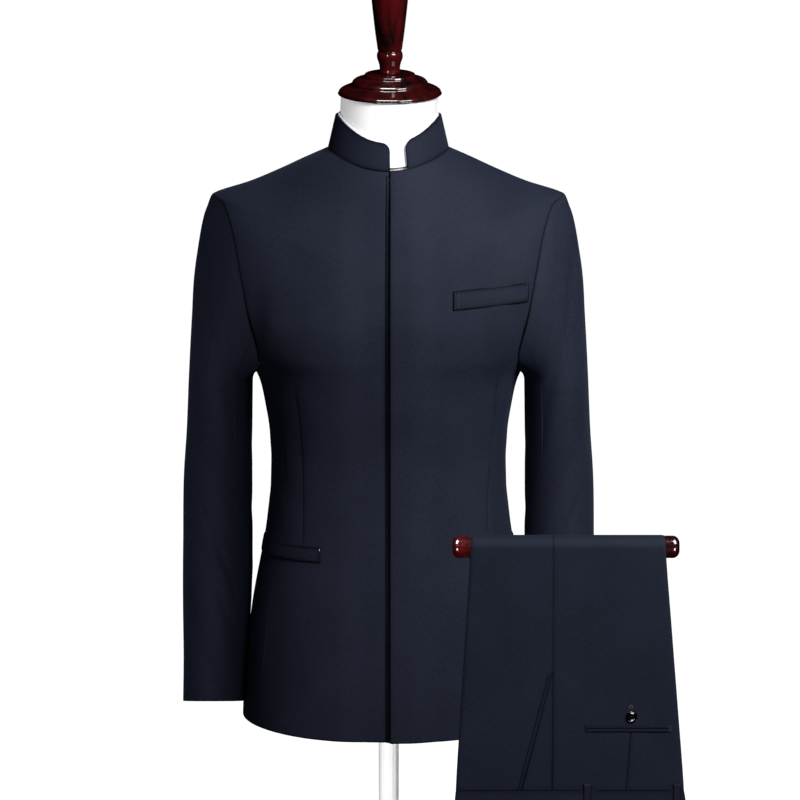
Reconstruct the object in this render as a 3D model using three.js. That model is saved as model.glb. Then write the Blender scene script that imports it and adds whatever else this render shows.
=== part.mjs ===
// A two-piece mao suit as a tailor shows it: the closed stand-collar jacket on a limbless dress form, and
// the trousers folded over a short wooden bar that a steel arm carries in front of the form's post.
// Millimetres, +Z up, the origin in the middle of the base's underside. The jacket's front faces -Y, and
// +X is the wearer's left. Every cloth piece is a thin closed wall with its outer face on one shared
// surface, so that neighbouring pieces meet along seams and what lies on a panel is made from its points.
import * as THREE from 'three';

const RAD = Math.PI / 180;
const SEAM = 0.2; // half of the gap that is left along every seam
const JACKET_WALL = 2; // wool, canvas and lining together
const COLLAR_WALL = 2.5;
const LINER_WALL = 1;
const WELT_WALL = 1.2;
const TROUSER_WALL = 1;

const NAVY = { color: 0x1b202c, roughness: 0.85, metalness: 0 };
const WHITE_CLOTH = { color: 0xe9e8ea, roughness: 0.9, metalness: 0 };
const RED_WOOD = { color: 0x3a0d0d, roughness: 0.25, metalness: 0 };
const WHITE_STEEL = { color: 0xe6e6e6, roughness: 0.35, metalness: 0.3 };
const BLACK_HORN = { color: 0x0a0a0d, roughness: 0.2, metalness: 0 };

const suit = new THREE.Group();

function addMesh(name, geometry, finish) {
  const mesh = new THREE.Mesh(geometry, new THREE.MeshStandardMaterial(finish));
  mesh.name = name;
  suit.add(mesh);
  return mesh;
}

// Small helpers for numbers and tables

const lerp = (a, b, t) => a + (b - a) * t;
const clamp = (t, low, high) => Math.min(high, Math.max(low, t));
const steps = (count) => Array.from({ length: count + 1 }, (_, i) => i / count);

function smooth(from, to, value) {
  const t = clamp((value - from) / (to - from), 0, 1);
  return t * t * (3 - 2 * t);
}

// A table has one row of sizes for each section. It is read at any level between its rows.
function makeTable(columns, rows) {
  return rows.map((row) => Object.fromEntries(columns.map((name, i) => [name, row[i]])));
}

function readTable(table, level) {
  const last = table.length - 1;
  const i = clamp(Math.floor(level), 0, last - 1);
  const t = level - i;
  const rows = [table[Math.max(i - 1, 0)], table[i], table[i + 1], table[Math.min(i + 2, last)]];
  const result = {};
  for (const name of Object.keys(table[0])) {
    const [a, b, c, d] = rows.map((row) => row[name]);
    result[name] = b + 0.5 * t * (c - a + t * (2 * a - 5 * b + 4 * c - d + t * (3 * (b - c) + d - a)));
  }
  return result;
}

// Closed bodies from grids of points

function closedGeometry(points, triangles) {
  let volume = 0;
  for (const [a, b, c] of triangles) {
    volume += points[a].dot(new THREE.Vector3().crossVectors(points[b], points[c]));
  }
  const order = volume < 0 ? [0, 2, 1] : [0, 1, 2];
  const geometry = new THREE.BufferGeometry();
  geometry.setFromPoints(points);
  geometry.setIndex(triangles.flatMap((triangle) => order.map((i) => triangle[i])));
  geometry.computeVertexNormals();
  return geometry;
}

// A wall between an outer and an inner grid of the same size. A closed wall joins its last column to its
// first, and has rims only at its first and last row.
function wallGeometry(outer, inner, closed = false) {
  const rowCount = outer.length;
  const columnCount = outer[0].length;
  const points = [...outer.flat(), ...inner.flat()];
  const out = (r, c) => r * columnCount + (c % columnCount);
  const into = (r, c) => rowCount * columnCount + out(r, c);
  const triangles = [];
  const quad = (a, b, c, d) => triangles.push([a, b, c], [a, c, d]);
  const lastColumn = closed ? columnCount : columnCount - 1;
  for (let r = 0; r < rowCount - 1; r++) {
    for (let c = 0; c < lastColumn; c++) {
      quad(out(r, c), out(r, c + 1), out(r + 1, c + 1), out(r + 1, c));
      quad(into(r, c), into(r + 1, c), into(r + 1, c + 1), into(r, c + 1));
    }
  }
  for (let c = 0; c < lastColumn; c++) {
    quad(out(0, c), into(0, c), into(0, c + 1), out(0, c + 1));
    quad(out(rowCount - 1, c), out(rowCount - 1, c + 1), into(rowCount - 1, c + 1), into(rowCount - 1, c));
  }
  if (!closed) {
    for (let r = 0; r < rowCount - 1; r++) {
      quad(out(r, 0), out(r + 1, 0), into(r + 1, 0), into(r, 0));
      quad(out(r, lastColumn), into(r, lastColumn), into(r + 1, lastColumn), out(r + 1, lastColumn));
    }
  }
  return closedGeometry(points, triangles);
}

// A filled body through closed rings, with a flat end at its first and last ring.
function loftGeometry(rings) {
  const count = rings[0].length;
  const points = rings.flat();
  const triangles = [];
  for (let r = 0; r < rings.length - 1; r++) {
    for (let c = 0; c < count; c++) {
      const a = r * count + c;
      const b = r * count + ((c + 1) % count);
      triangles.push([a, b, b + count], [a, b + count, a + count]);
    }
  }
  for (const [ring, turned] of [[0, true], [rings.length - 1, false]]) {
    const middle = points.length;
    const centre = rings[ring].reduce((sum, p) => sum.add(p), new THREE.Vector3());
    points.push(centre.divideScalar(count));
    for (let c = 0; c < count; c++) {
      const a = ring * count + c;
      const b = ring * count + ((c + 1) % count);
      triangles.push(turned ? [middle, b, a] : [middle, a, b]);
    }
  }
  return closedGeometry(points, triangles);
}

// The jacket body. One row for each level, from the hem to the neckline: the height at the side, centre
// front and centre back, the half width, the reach to the front and back, and how square the section is.
const BODY = makeTable(
  ['side', 'frontZ', 'backZ', 'half', 'front', 'back', 'square'],
  [
    [792, 781, 799, 182, 128, 127, 2.45], // hem
    [860, 853, 866, 178.3, 126, 130, 2.45], // seat
    [935, 931, 939, 169.2, 121, 124, 2.4], // hip
    [1035, 1033, 1037, 151, 111, 108, 2.35], // below the waist
    [1122, 1122, 1122, 145, 108, 97, 2.3], // waist
    [1185, 1185, 1185, 152.5, 114, 101, 2.3], // above the waist
    [1222, 1222, 1222, 163, 118, 106, 2.3], // bottom of the armhole
    [1250, 1250, 1252, 186, 121, 110, 2.35], // chest
    [1295, 1290, 1297, 207, 122, 114, 2.4],
    [1350, 1335, 1345, 214, 117, 114, 2.3], // middle of the armhole
    [1400, 1372, 1388, 214, 109, 110, 2.05],
    [1430, 1395, 1413, 212.8, 103, 105, 1.7],
    [1441.6, 1412, 1430, 212.7, 98, 99, 1.45], // shoulder point
    [1456, 1430, 1455, 169, 91, 88, 1.5],
    [1471, 1447, 1476, 133, 84, 78, 1.65], // middle of the shoulder
    [1485.6, 1460, 1493, 101, 78, 70, 1.85],
    [1497, 1473.5, 1506, 74, 72, 62, 2.05], // neckline
  ],
);
const NECK_LEVEL = 16;
const ARMHOLE_MIDDLE = 9; // its level, with its reach in levels above and below
const ARMHOLE_REACH = 3;
const ARMHOLE_FRONT = 36 * RAD;
const ARMHOLE_BACK = 34 * RAD;
const ARMHOLE_SCOOP = 0.42; // wider below its middle than above
const FRONT_SEAM = 135 * RAD; // where the side panel's seams meet the armhole, round the armhole
const BACK_SEAM = 225 * RAD;
const ARMHOLE_STEP = 15 * RAD;

// An angle of 0 is the wearer's left side, -90 degrees the centre front and 90 the centre back.
function sectionPoint(row, angle) {
  const c = Math.cos(angle);
  const s = Math.sin(angle);
  const power = 2 / row.square;
  const reach = s < 0 ? row.front : row.back;
  const middle = s < 0 ? row.frontZ : row.backZ;
  return new THREE.Vector3(
    row.half * Math.sign(c) * Math.abs(c) ** power,
    reach * Math.sign(s) * Math.abs(s) ** power,
    lerp(row.side, middle, s * s),
  );
}

const bodyPoint = (angle, level) => sectionPoint(readTable(BODY, level), angle);

// The outward direction of any surface that is given as a function of two numbers.
function outward(surface, u, v, step = 0.01) {
  const along = surface(u + step, v).sub(surface(u - step, v));
  const up = surface(u, v + step).sub(surface(u, v - step));
  return along.cross(up).normalize();
}

const bodyNormal = (angle, level) => outward(bodyPoint, angle, clamp(level, 0.02, NECK_LEVEL - 0.02));

function angleAtX(x, level) {
  const row = readTable(BODY, level);
  const share = Math.min(Math.abs(x) / row.half, 1) ** (row.square / 2);
  return -Math.acos(Math.sign(x) * share);
}

// The front level whose point has this height at this place across the body.
function levelAtZ(x, z) {
  let low = 0;
  let high = ARMHOLE_MIDDLE + ARMHOLE_REACH;
  for (let i = 0; i < 30; i++) {
    const middle = (low + high) / 2;
    if (bodyPoint(angleAtX(x, middle), middle).z < z) low = middle;
    else high = middle;
  }
  return (low + high) / 2;
}

// Round the armhole: 0 is the shoulder point, 90 degrees the front, 180 the bottom and 270 the back.
const armholeLevel = (turn) => ARMHOLE_MIDDLE + ARMHOLE_REACH * Math.cos(turn);

function armholeAngle(turn) {
  const width = Math.sin(turn) > 0 ? ARMHOLE_FRONT : ARMHOLE_BACK;
  return -width * (1 - ARMHOLE_SCOOP * Math.cos(turn)) * Math.sin(turn);
}

const armholePoint = (turn) => bodyPoint(armholeAngle(turn), armholeLevel(turn));

function turnAtLevel(level, back) {
  const turn = Math.acos(clamp((level - ARMHOLE_MIDDLE) / ARMHOLE_REACH, -1, 1));
  return back ? 2 * Math.PI - turn : turn;
}

// The closing. The over front (wearer's left) ends on the centre line, and the under front runs on
// below it. A buttonhole strip and the buttons lie between them, out of sight.
const OVER_EDGE_X = 2;
const UNDER_EDGE_X = -22; // as drawn on the wearer's left, before the under front is mirrored
const LAP_FLAT_X = 24;
const LAP_END_X = 62;
const OVER_LIFT = 4.2;
const UNDER_DIP = 3;
const LAP_AT_NECK = 0.45; // the share of the lift that is left at the neckline

function lapShare(x, level) {
  const alongNeck = lerp(1, LAP_AT_NECK, smooth(NECK_LEVEL - 4, NECK_LEVEL, level));
  return alongNeck * (1 - smooth(LAP_FLAT_X, LAP_END_X, x));
}

const flat = (direction) => direction.clone().setZ(0).normalize();

function frontPoint(angle, level, offset = 0, lift = OVER_LIFT) {
  const p = bodyPoint(angle, level);
  const normal = bodyNormal(angle, level);
  const share = lapShare(p.x, level);
  return p.addScaledVector(normal, offset).addScaledVector(flat(normal), lift * share);
}

// The levels of a front or back panel: hem to the side panel's top, round the armhole, shoulder to neck.
function panelLevels(seamTurn) {
  const top = armholeLevel(seamTurn);
  const below = steps(7).map((t) => top * t);
  const sign = seamTurn > Math.PI ? -1 : 1;
  const start = seamTurn > Math.PI ? 2 * Math.PI - seamTurn : seamTurn;
  const round = [];
  for (let turn = start - ARMHOLE_STEP; turn > -0.01; turn -= ARMHOLE_STEP) {
    round.push(armholeLevel(sign * turn));
  }
  const shoulder = steps(4).slice(1).map((t) => lerp(ARMHOLE_MIDDLE + ARMHOLE_REACH, NECK_LEVEL, t));
  return [...below, ...round, ...shoulder];
}

// The angle at which a panel ends on its side: at the seam, the armhole or the shoulder seam.
function sideAngle(level, seamTurn) {
  const back = seamTurn > Math.PI;
  const seam = armholeAngle(seamTurn);
  const away = back ? SEAM : -SEAM;
  const row = readTable(BODY, level);
  const gap = away / row.front;
  if (level <= armholeLevel(seamTurn) + 1e-6) return seam + gap;
  if (level >= ARMHOLE_MIDDLE + ARMHOLE_REACH) {
    return Math.sign(gap) * Math.abs(2 * gap) ** (row.square / 2);
  }
  return armholeAngle(turnAtLevel(level, back)) + gap;
}

const COLLAR_GAP = 0.03; // in levels: how far the panels stop short of the collar

function panelGrid(levels, columns, startAngle, endAngle, point) {
  return levels.map((level) => {
    const at = Math.min(level, NECK_LEVEL - COLLAR_GAP);
    const from = startAngle(at);
    const to = endAngle(at);
    return columns.map((t) => point(lerp(from, to, t), at));
  });
}

function mirrorGrid(grid) {
  return grid.map((row) => row.map((p) => new THREE.Vector3(-p.x, p.y, p.z)));
}

function addWall(name, outer, inner, finish, mirrored = false, closed = false) {
  const grids = mirrored ? [mirrorGrid(outer), mirrorGrid(inner)] : [outer, inner];
  return addMesh(name, wallGeometry(grids[0], grids[1], closed), finish);
}

const FRONT_COLUMNS = [0, 0.1, 0.24, 0.4, 0.56, 0.72, 0.87, 1];

function addFronts() {
  const levels = panelLevels(FRONT_SEAM);
  const end = (level) => sideAngle(level, FRONT_SEAM);
  for (const [name, edge, lift, mirrored] of [
    ['jacket_front_left', OVER_EDGE_X, OVER_LIFT, false],
    ['jacket_front_right', UNDER_EDGE_X, -UNDER_DIP, true],
  ]) {
    const start = (level) => angleAtX(edge, level);
    const grid = (offset) => panelGrid(levels, FRONT_COLUMNS, start, end, (angle, level) =>
      frontPoint(angle, level, offset, lift));
    addWall(name, grid(0), grid(-JACKET_WALL), NAVY, mirrored);
  }
}

function addBacks() {
  const levels = panelLevels(BACK_SEAM);
  const centre = (level) => -angleAtX(SEAM, level);
  const end = (level) => sideAngle(level, BACK_SEAM);
  const grid = (offset) => panelGrid(levels, FRONT_COLUMNS, centre, end, (angle, level) =>
    bodyPoint(angle, level).addScaledVector(bodyNormal(angle, level), offset));
  addWall('jacket_back_left', grid(0), grid(-JACKET_WALL), NAVY);
  addWall('jacket_back_right', grid(0), grid(-JACKET_WALL), NAVY, true);
}

// The side panel runs up between its two seams and ends in the lower curve of the armhole.
function addSides() {
  const turns = steps(6).map((t) => lerp(FRONT_SEAM, BACK_SEAM, t));
  const grid = (offset) => steps(7).map((t) => turns.map((turn, i) => {
    const top = armholeLevel(turn) - SEAM / 40;
    const gap = SEAM / BODY[4].front;
    const inset = i === 0 ? gap : i === turns.length - 1 ? -gap : 0;
    const angle = armholeAngle(turn) + inset;
    const level = top * t;
    return bodyPoint(angle, level).addScaledVector(bodyNormal(angle, level), offset);
  }));
  addWall('jacket_side_left', grid(0), grid(-JACKET_WALL), NAVY);
  addWall('jacket_side_right', grid(0), grid(-JACKET_WALL), NAVY, true);
}

// The sleeves. One row for each ring below the armhole: its centre, half width across and front to back,
// and how far its plane tips up at the front, in degrees.
const ARM = makeTable(
  ['x', 'y', 'z', 'across', 'deep', 'tip'],
  [
    [207, 2, 1210, 39.5, 70, 0], // below the armhole
    [209, 5, 1150, 40.5, 66, 0],
    [211.3, 3, 1085, 42.5, 61, 3], // elbow
    [211.5, -7, 1005, 43, 57, 8],
    [212, -20, 935, 42, 54, 11],
    [214.4, -33, 872, 39.1, 51.5, 12],
    [216.6, -45, 815, 37.4, 49, 12], // cuff
  ],
);
const ARM_SQUARE = 2.15;
const SLEEVE_START = 0.5; // how far outside the armhole's edge the sleeve begins
const CAP_STEPS = 6;
const ARM_STEPS = 7;
const SLEEVE_FRONT_SEAM = 120 * RAD;
const SLEEVE_BACK_SEAM = 240 * RAD;
const CAP_START = { x: 0.3, y: 0.14, z: -0.24 }; // the cap's first direction, as shares of its length
const CAP_END = { x: 0.06, y: 0, z: -1.1 };

function armPoint(turn, level) {
  const row = readTable(ARM, level);
  const c = Math.cos(turn);
  const s = Math.sin(turn);
  const power = 2 / ARM_SQUARE;
  const y = -row.deep * Math.sign(s) * Math.abs(s) ** power;
  return new THREE.Vector3(
    row.x + row.across * Math.sign(c) * Math.abs(c) ** power,
    row.y + y * Math.cos(row.tip * RAD),
    row.z - y * Math.sin(row.tip * RAD),
  );
}

// Share 0 to 1 is the cap, from the armhole to the first ring, and 1 to 2 the arm, down to the cuff.
function sleevePoint(turn, share) {
  if (share >= 1) return armPoint(turn, (share - 1) * (ARM.length - 1));
  const a = armholePoint(turn);
  a.x += SLEEVE_START;
  const b = armPoint(turn, 0);
  const length = a.distanceTo(b);
  const from = new THREE.Vector3(CAP_START.x, -CAP_START.y * Math.sin(turn), CAP_START.z);
  const to = new THREE.Vector3(CAP_END.x, CAP_END.y, CAP_END.z);
  const t = share;
  return new THREE.Vector3()
    .addScaledVector(a, 2 * t ** 3 - 3 * t ** 2 + 1)
    .addScaledVector(from, (t ** 3 - 2 * t ** 2 + t) * length)
    .addScaledVector(b, -2 * t ** 3 + 3 * t ** 2)
    .addScaledVector(to, (t ** 3 - t ** 2) * length);
}

// At the armhole the wall's thickness lies in the armhole's own plane, clear of the body panels.
function sleeveNormal(turn, share) {
  const normal = outward((u, v) => sleevePoint(-u, -v), -turn, -clamp(share, 0.02, 1.98));
  normal.x *= smooth(0, 0.5, share);
  return normal.normalize();
}

function sleeveGrid(turns, offset) {
  const shares = [...steps(CAP_STEPS), ...steps(ARM_STEPS).slice(1).map((t) => 1 + t)];
  return shares.map((share) => turns.map((turn) =>
    sleevePoint(turn, share).addScaledVector(sleeveNormal(turn, share), offset)));
}

function addSleeves() {
  const gap = SEAM / ARM[2].deep;
  const pieces = [
    ['upper', SLEEVE_BACK_SEAM - 2 * Math.PI, SLEEVE_FRONT_SEAM],
    ['under', SLEEVE_FRONT_SEAM, SLEEVE_BACK_SEAM],
  ];
  for (const [piece, from, to] of pieces) {
    const count = Math.round((to - from) / ARMHOLE_STEP);
    const turns = steps(count).map((t) => lerp(from, to, t));
    turns[0] += gap;
    turns[count] -= gap;
    const outer = sleeveGrid(turns, 0);
    const inner = sleeveGrid(turns, -JACKET_WALL);
    addWall(`sleeve_left_${piece}`, outer, inner, NAVY);
    addWall(`sleeve_right_${piece}`, outer, inner, NAVY, true);
  }
}

// The stand collar, from the neckline up to its own top edge, with rounded front corners, and the white
// band that is sewn inside it and shows above it and across its front gap.
const COLLAR_TOP = {
  side: 1538, frontZ: 1506.5, backZ: 1547, half: 64.5, front: 66, back: 57, square: 2.05,
};
const COLLAR_RIGHT_END_X = 2;
const COLLAR_LEFT_END_X = 23;
const COLLAR_CORNER = 10.5;
const COLLAR_HEIGHT = 33; // at its front ends
const COLLAR_SEAM = 0.9;
const LINER_RISE = 2.5;
const LINER_START = 3;

function collarPoint(angle, height) {
  const base = sectionPoint(BODY[NECK_LEVEL], angle);
  const top = sectionPoint(COLLAR_TOP, angle);
  return base.lerp(top, height);
}

const collarNormal = (angle, height) => outward(collarPoint, angle, height);

function collarEdge(distance) {
  const short = Math.max(COLLAR_CORNER - distance, 0);
  const drop = COLLAR_CORNER - Math.sqrt(COLLAR_CORNER ** 2 - short ** 2);
  return 1 - drop / COLLAR_HEIGHT;
}

function addCollar() {
  const radius = BODY[NECK_LEVEL].front;
  const from = -Math.acos(Math.sign(COLLAR_LEFT_END_X)
    * (COLLAR_LEFT_END_X / BODY[NECK_LEVEL].half) ** (BODY[NECK_LEVEL].square / 2));
  const to = 1.5 * Math.PI + COLLAR_RIGHT_END_X / radius;
  const ends = [0, 1.5, 4, 7.5].map((d) => d / radius);
  const middle = steps(26).map((t) => lerp(from + 0.22, to - 0.22, t));
  const angles = [...ends.map((d) => from + d), ...middle, ...ends.map((d) => to - d).reverse()];
  const grid = (offset) => steps(3).map((t) => angles.map((angle) => {
    const distance = Math.min(angle - from, to - angle) * radius;
    const height = lerp(COLLAR_SEAM / COLLAR_HEIGHT, collarEdge(distance), t);
    const p = collarPoint(angle, height);
    const lift = OVER_LIFT * LAP_AT_NECK * (1 - smooth(LAP_FLAT_X, LAP_END_X, p.x)) * (angle < 0 ? 1 : 0);
    const normal = collarNormal(angle, height);
    return p.addScaledVector(normal, offset).addScaledVector(flat(normal), lift);
  }));
  addWall('collar', grid(0), grid(-COLLAR_WALL), NAVY);

  const round = steps(36).slice(1).map((t) => t * 2 * Math.PI);
  const outerFace = -(COLLAR_WALL + 4 * SEAM);
  const liner = (offset) => steps(2).map((t) => round.map((angle) => {
    const height = lerp(LINER_START / COLLAR_HEIGHT, 1 + LINER_RISE / COLLAR_HEIGHT, t);
    return collarPoint(angle, height).addScaledVector(collarNormal(angle, height), offset);
  }));
  addWall('collar_liner', liner(outerFace), liner(outerFace - LINER_WALL), WHITE_CLOTH, false, true);
}

// The concealed closing: the buttonhole strip, whose edge shows in the slit, and its five buttons.
const STRIP_FACE = -1.2;
const STRIP_WALL = 1;
const STRIP_EDGE_X = -2.5;
const STRIP_BACK_X = 20;
const BUTTON_RADIUS = 7.5;
const BUTTON_DEPTH = 1.6;
const BUTTON_CLEARANCE = 0.35;
const BUTTON_X = 11;
const BUTTON_TOP_Z = 1412;
const BUTTON_STEP_Z = 118;
const BUTTON_COUNT = 5;

function addClosing() {
  const levels = panelLevels(FRONT_SEAM).filter((level) => level < NECK_LEVEL - 0.5);
  const across = steps(3).map((t) => lerp(STRIP_EDGE_X, STRIP_BACK_X, t));
  const lapAt = (level) => lapShare(0, level);
  const strip = (offset) => levels.map((level) => across.map((x) => {
    const angle = angleAtX(x, level);
    const depth = (STRIP_FACE + offset) * lapAt(level);
    return bodyPoint(angle, level).addScaledVector(bodyNormal(angle, level), depth);
  }));
  const face = strip(0);
  addWall('button_strip', face, strip(-STRIP_WALL), NAVY);
  // Each button lies on the strip's own facet at its height.
  const middle = across.length >> 1;
  for (let i = 0; i < BUTTON_COUNT; i++) {
    const z = BUTTON_TOP_Z - i * BUTTON_STEP_Z;
    const row = face.findIndex((line) => line[middle].z > z) - 1;
    const low = face[row][middle];
    const up = face[row + 1][middle].clone().sub(low);
    const normal = face[row][middle].clone().sub(face[row][middle - 1]).cross(up).normalize();
    const button = new THREE.CylinderGeometry(BUTTON_RADIUS, BUTTON_RADIUS, BUTTON_DEPTH, 14);
    button.applyQuaternion(new THREE.Quaternion().setFromUnitVectors(new THREE.Vector3(0, 1, 0), normal));
    const place = low.clone().addScaledVector(up, (z - low.z) / up.z);
    place.addScaledVector(normal, BUTTON_DEPTH / 2 + BUTTON_CLEARANCE);
    button.translate(BUTTON_X, place.y, place.z);
    addMesh(`closing_button_${i + 1}`, button, BLACK_HORN);
  }
}

// Welts: straight bands that lie on the front, given by their two ends at the top edge.
const CHEST_WELT_OFFSET = 0.4;
const HIP_WELT_OFFSET = 1.6;
const CHEST_WELT = { fromX: 78, toX: 169, fromZ: 1330, toZ: 1339, deep: 21.5 };
const HIP_WELT = { toX: 147, topZ: 1017, fall: 1.5, deep: 18 };
const HIP_WELT_SIDES = [
  { name: 'hip_welt_left', fromX: 99, wrap: 57, mirrored: false },
  { name: 'hip_welt_right', fromX: 82, wrap: 40, mirrored: true },
];

function weltGrid(columns, deep, place, offset) {
  return steps(2).map((t) => columns.map((share) => {
    const { angle, level } = place(share, t * deep);
    const normal = bodyNormal(angle, level);
    return bodyPoint(angle, level).addScaledVector(normal, offset);
  }));
}

function addWelts() {
  const chest = (share, drop) => {
    const x = lerp(CHEST_WELT.fromX, CHEST_WELT.toX, share);
    const z = lerp(CHEST_WELT.fromZ, CHEST_WELT.toZ, share) - drop;
    const level = levelAtZ(x, z);
    return { angle: angleAtX(x, level), level };
  };
  const columns = steps(9);
  addWall('chest_welt', weltGrid(columns, CHEST_WELT.deep, chest, CHEST_WELT_OFFSET + WELT_WALL),
    weltGrid(columns, CHEST_WELT.deep, chest, CHEST_WELT_OFFSET), NAVY);

  for (const { name, fromX, wrap, mirrored } of HIP_WELT_SIDES) {
    const hip = (share, drop) => {
      const level = levelAtZ(fromX, HIP_WELT.topZ - HIP_WELT.fall * share - drop);
      const from = angleAtX(fromX, level);
      const to = angleAtX(HIP_WELT.toX, level) + wrap / readTable(BODY, level).front;
      return { angle: lerp(from, to, share), level };
    };
    const outer = weltGrid(columns, HIP_WELT.deep, hip, HIP_WELT_OFFSET + WELT_WALL);
    const inner = weltGrid(columns, HIP_WELT.deep, hip, HIP_WELT_OFFSET);
    addWall(name, outer, inner, NAVY, mirrored);
  }
}

// The dress form: the jacket's own shape moved in, flat at the armholes and below, and its round neck. It
// carries the jacket at the shoulders and stands back from it further down.
const FORM_BOTTOM_Z = 825;
const FORM_LEVELS = [0.5, 1, 2, 3, 4, 5, 6, 7, 8, 9, 10, 11, 12, 13, 14, 15.2];
const FORM_SHOULDER_GAP = 2.1;
const FORM_HEM_GAP = 10;
const FORM_PLATE_GAP = 5;
const FORM_SEGMENTS = 32;
const NECK = makeTable(
  ['side', 'frontZ', 'backZ', 'half', 'front', 'back', 'square'],
  [
    [1495, 1468, 1504, 67, 64.5, 55, 2.05],
    [1509, 1482, 1517, 65.5, 64, 54.5, 2.05],
    [1524, 1497, 1532, 61, 61.5, 52.5, 2.05],
    [1540, 1515, 1549, 58.8, 60, 51.5, 2],
    [1562, 1553, 1571, 60, 60, 60, 2],
  ],
);
const NECK_TILT = 8.5 * RAD;
const NECK_TOP_Z = 1562;
const NECK_SHIFT_X = 1.8;

function formPoint(angle, level) {
  const row = readTable(BODY, level);
  const p = sectionPoint(row, angle);
  const lap = (UNDER_DIP + SEAM) * lapShare(Math.abs(p.x) - 8, level) * (Math.sin(angle) < 0 ? 1 : 0);
  const gap = lerp(FORM_HEM_GAP, FORM_SHOULDER_GAP, smooth(2, 8.5, level));
  p.addScaledVector(bodyNormal(angle, level), -(JACKET_WALL + gap + lap));
  const rim = ARMHOLE_MIDDLE + ARMHOLE_REACH;
  if (level > ARMHOLE_MIDDLE - ARMHOLE_REACH && level < rim) {
    const front = armholePoint(turnAtLevel(level, false)).x;
    const back = armholePoint(turnAtLevel(level, true)).x;
    const plate = Math.min(front, back) - FORM_PLATE_GAP;
    p.x = clamp(p.x, -plate, plate);
  }
  return p;
}

function addForm() {
  const round = steps(FORM_SEGMENTS).slice(1).map((t) => (t * 2 - 1) * Math.PI);
  const rings = FORM_LEVELS.map((level) => round.map((angle) => formPoint(angle, level)));
  rings[0].forEach((p) => { p.z = FORM_BOTTOM_Z; });
  for (const [i, row] of NECK.entries()) {
    const shift = i === NECK.length - 1 ? NECK_SHIFT_X : 0;
    rings.push(round.map((angle) => sectionPoint(row, angle).setX(sectionPoint(row, angle).x + shift)));
  }
  const top = rings[rings.length - 1];
  top.forEach((p) => { p.z = NECK_TOP_Z + p.y * Math.tan(NECK_TILT); });
  addMesh('form_torso', loftGeometry(rings), WHITE_CLOTH);
}

// Turned wood, drawn as a profile of radius and height and then spun.
function turned(profile, segments) {
  const points = profile.map(([radius, height]) => new THREE.Vector2(radius, height));
  const geometry = new THREE.LatheGeometry(points, segments);
  geometry.rotateX(Math.PI / 2);
  return geometry;
}

const CAP_PROFILE = [
  [0, 0], [58, 0], [62, 1.2], [62.5, 3], [60, 5.5], [54, 8.2], [48.5, 10.3], [46.5, 12], [46, 14.5],
  [43, 17.5], [39, 18.5], [32, 20.5], [31, 23], [27, 25], [0, 25.3],
];
const FINIAL_PROFILE = [
  [0, 25.7], [12.4, 25.7], [12.4, 31], [12.9, 35.5], [14.2, 40], [15.6, 44], [15.8, 47.5], [15.2, 50.8],
  [14, 52.6], [14, 53.4], [14.9, 55], [16.5, 66], [18.1, 78], [20.9, 103], [22.4, 118], [23, 131],
  [20, 141], [13, 148], [0, 151],
];

function addNeckCap() {
  for (const [name, profile] of [['neck_cap', CAP_PROFILE], ['finial', FINIAL_PROFILE]]) {
    const geometry = turned(profile, 22);
    geometry.translate(0, 0, 2 * SEAM);
    geometry.rotateX(NECK_TILT);
    geometry.translate(NECK_SHIFT_X, 0, NECK_TOP_Z);
    addMesh(name, geometry, RED_WOOD);
  }
}

// The stand under the form.
const BASE_RADIUS = 190;
const BASE_HEIGHT = 20;
const POST_RADIUS = 12.5;
const POST_CLEARANCE = 0.3;

function ringGeometry(innerRadius, outerRadius, lowZ, highZ, segments) {
  const bevel = 2;
  const profile = [
    [innerRadius, lowZ], [outerRadius - bevel, lowZ], [outerRadius, lowZ + bevel],
    [outerRadius, highZ - bevel], [outerRadius - bevel, highZ], [innerRadius, highZ], [innerRadius, lowZ],
  ];
  return turned(profile, segments);
}

function addStand() {
  const base = [
    [0, 0], [BASE_RADIUS - 3, 0], [BASE_RADIUS, 3], [BASE_RADIUS, 10], [BASE_RADIUS - 5, 16],
    [BASE_RADIUS - 16, BASE_HEIGHT], [0, BASE_HEIGHT],
  ];
  addMesh('base', turned(base, 40), RED_WOOD);
  const foot = BASE_HEIGHT + POST_CLEARANCE;
  const head = FORM_BOTTOM_Z - POST_CLEARANCE;
  const bore = POST_RADIUS + POST_CLEARANCE;
  addMesh('base_flange', ringGeometry(bore, 34, foot, foot + 16, 16), WHITE_STEEL);
  addMesh('form_flange', ringGeometry(bore, 30, head - 12, head, 16), WHITE_STEEL);
  const post = turned([[0, foot], [POST_RADIUS, foot], [POST_RADIUS, head], [0, head]], 16);
  addMesh('post', post, WHITE_STEEL);
}

// The bar for the trousers, with a thicker knob at each end, and the arm that carries it: a clamp on the
// post, a bent riser and a fork.
const BAR = { fromX: 76.3, toX: 346.3, y: -190, z: 1034.9, radius: 9.8 };
const KNOB = { radius: 13.4, leftLength: 20.1, rightLength: 15.1, rounding: 8, step: 0.6 };
const ARM_TUBE = 6;
const FORK_TUBE = 5;
const FORK_Y = -146;
const FORK_INSET = 11;
const CLAMP_Z = 640;
const CLAMP_RADIUS = 24;
const BEND = 28;

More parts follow.
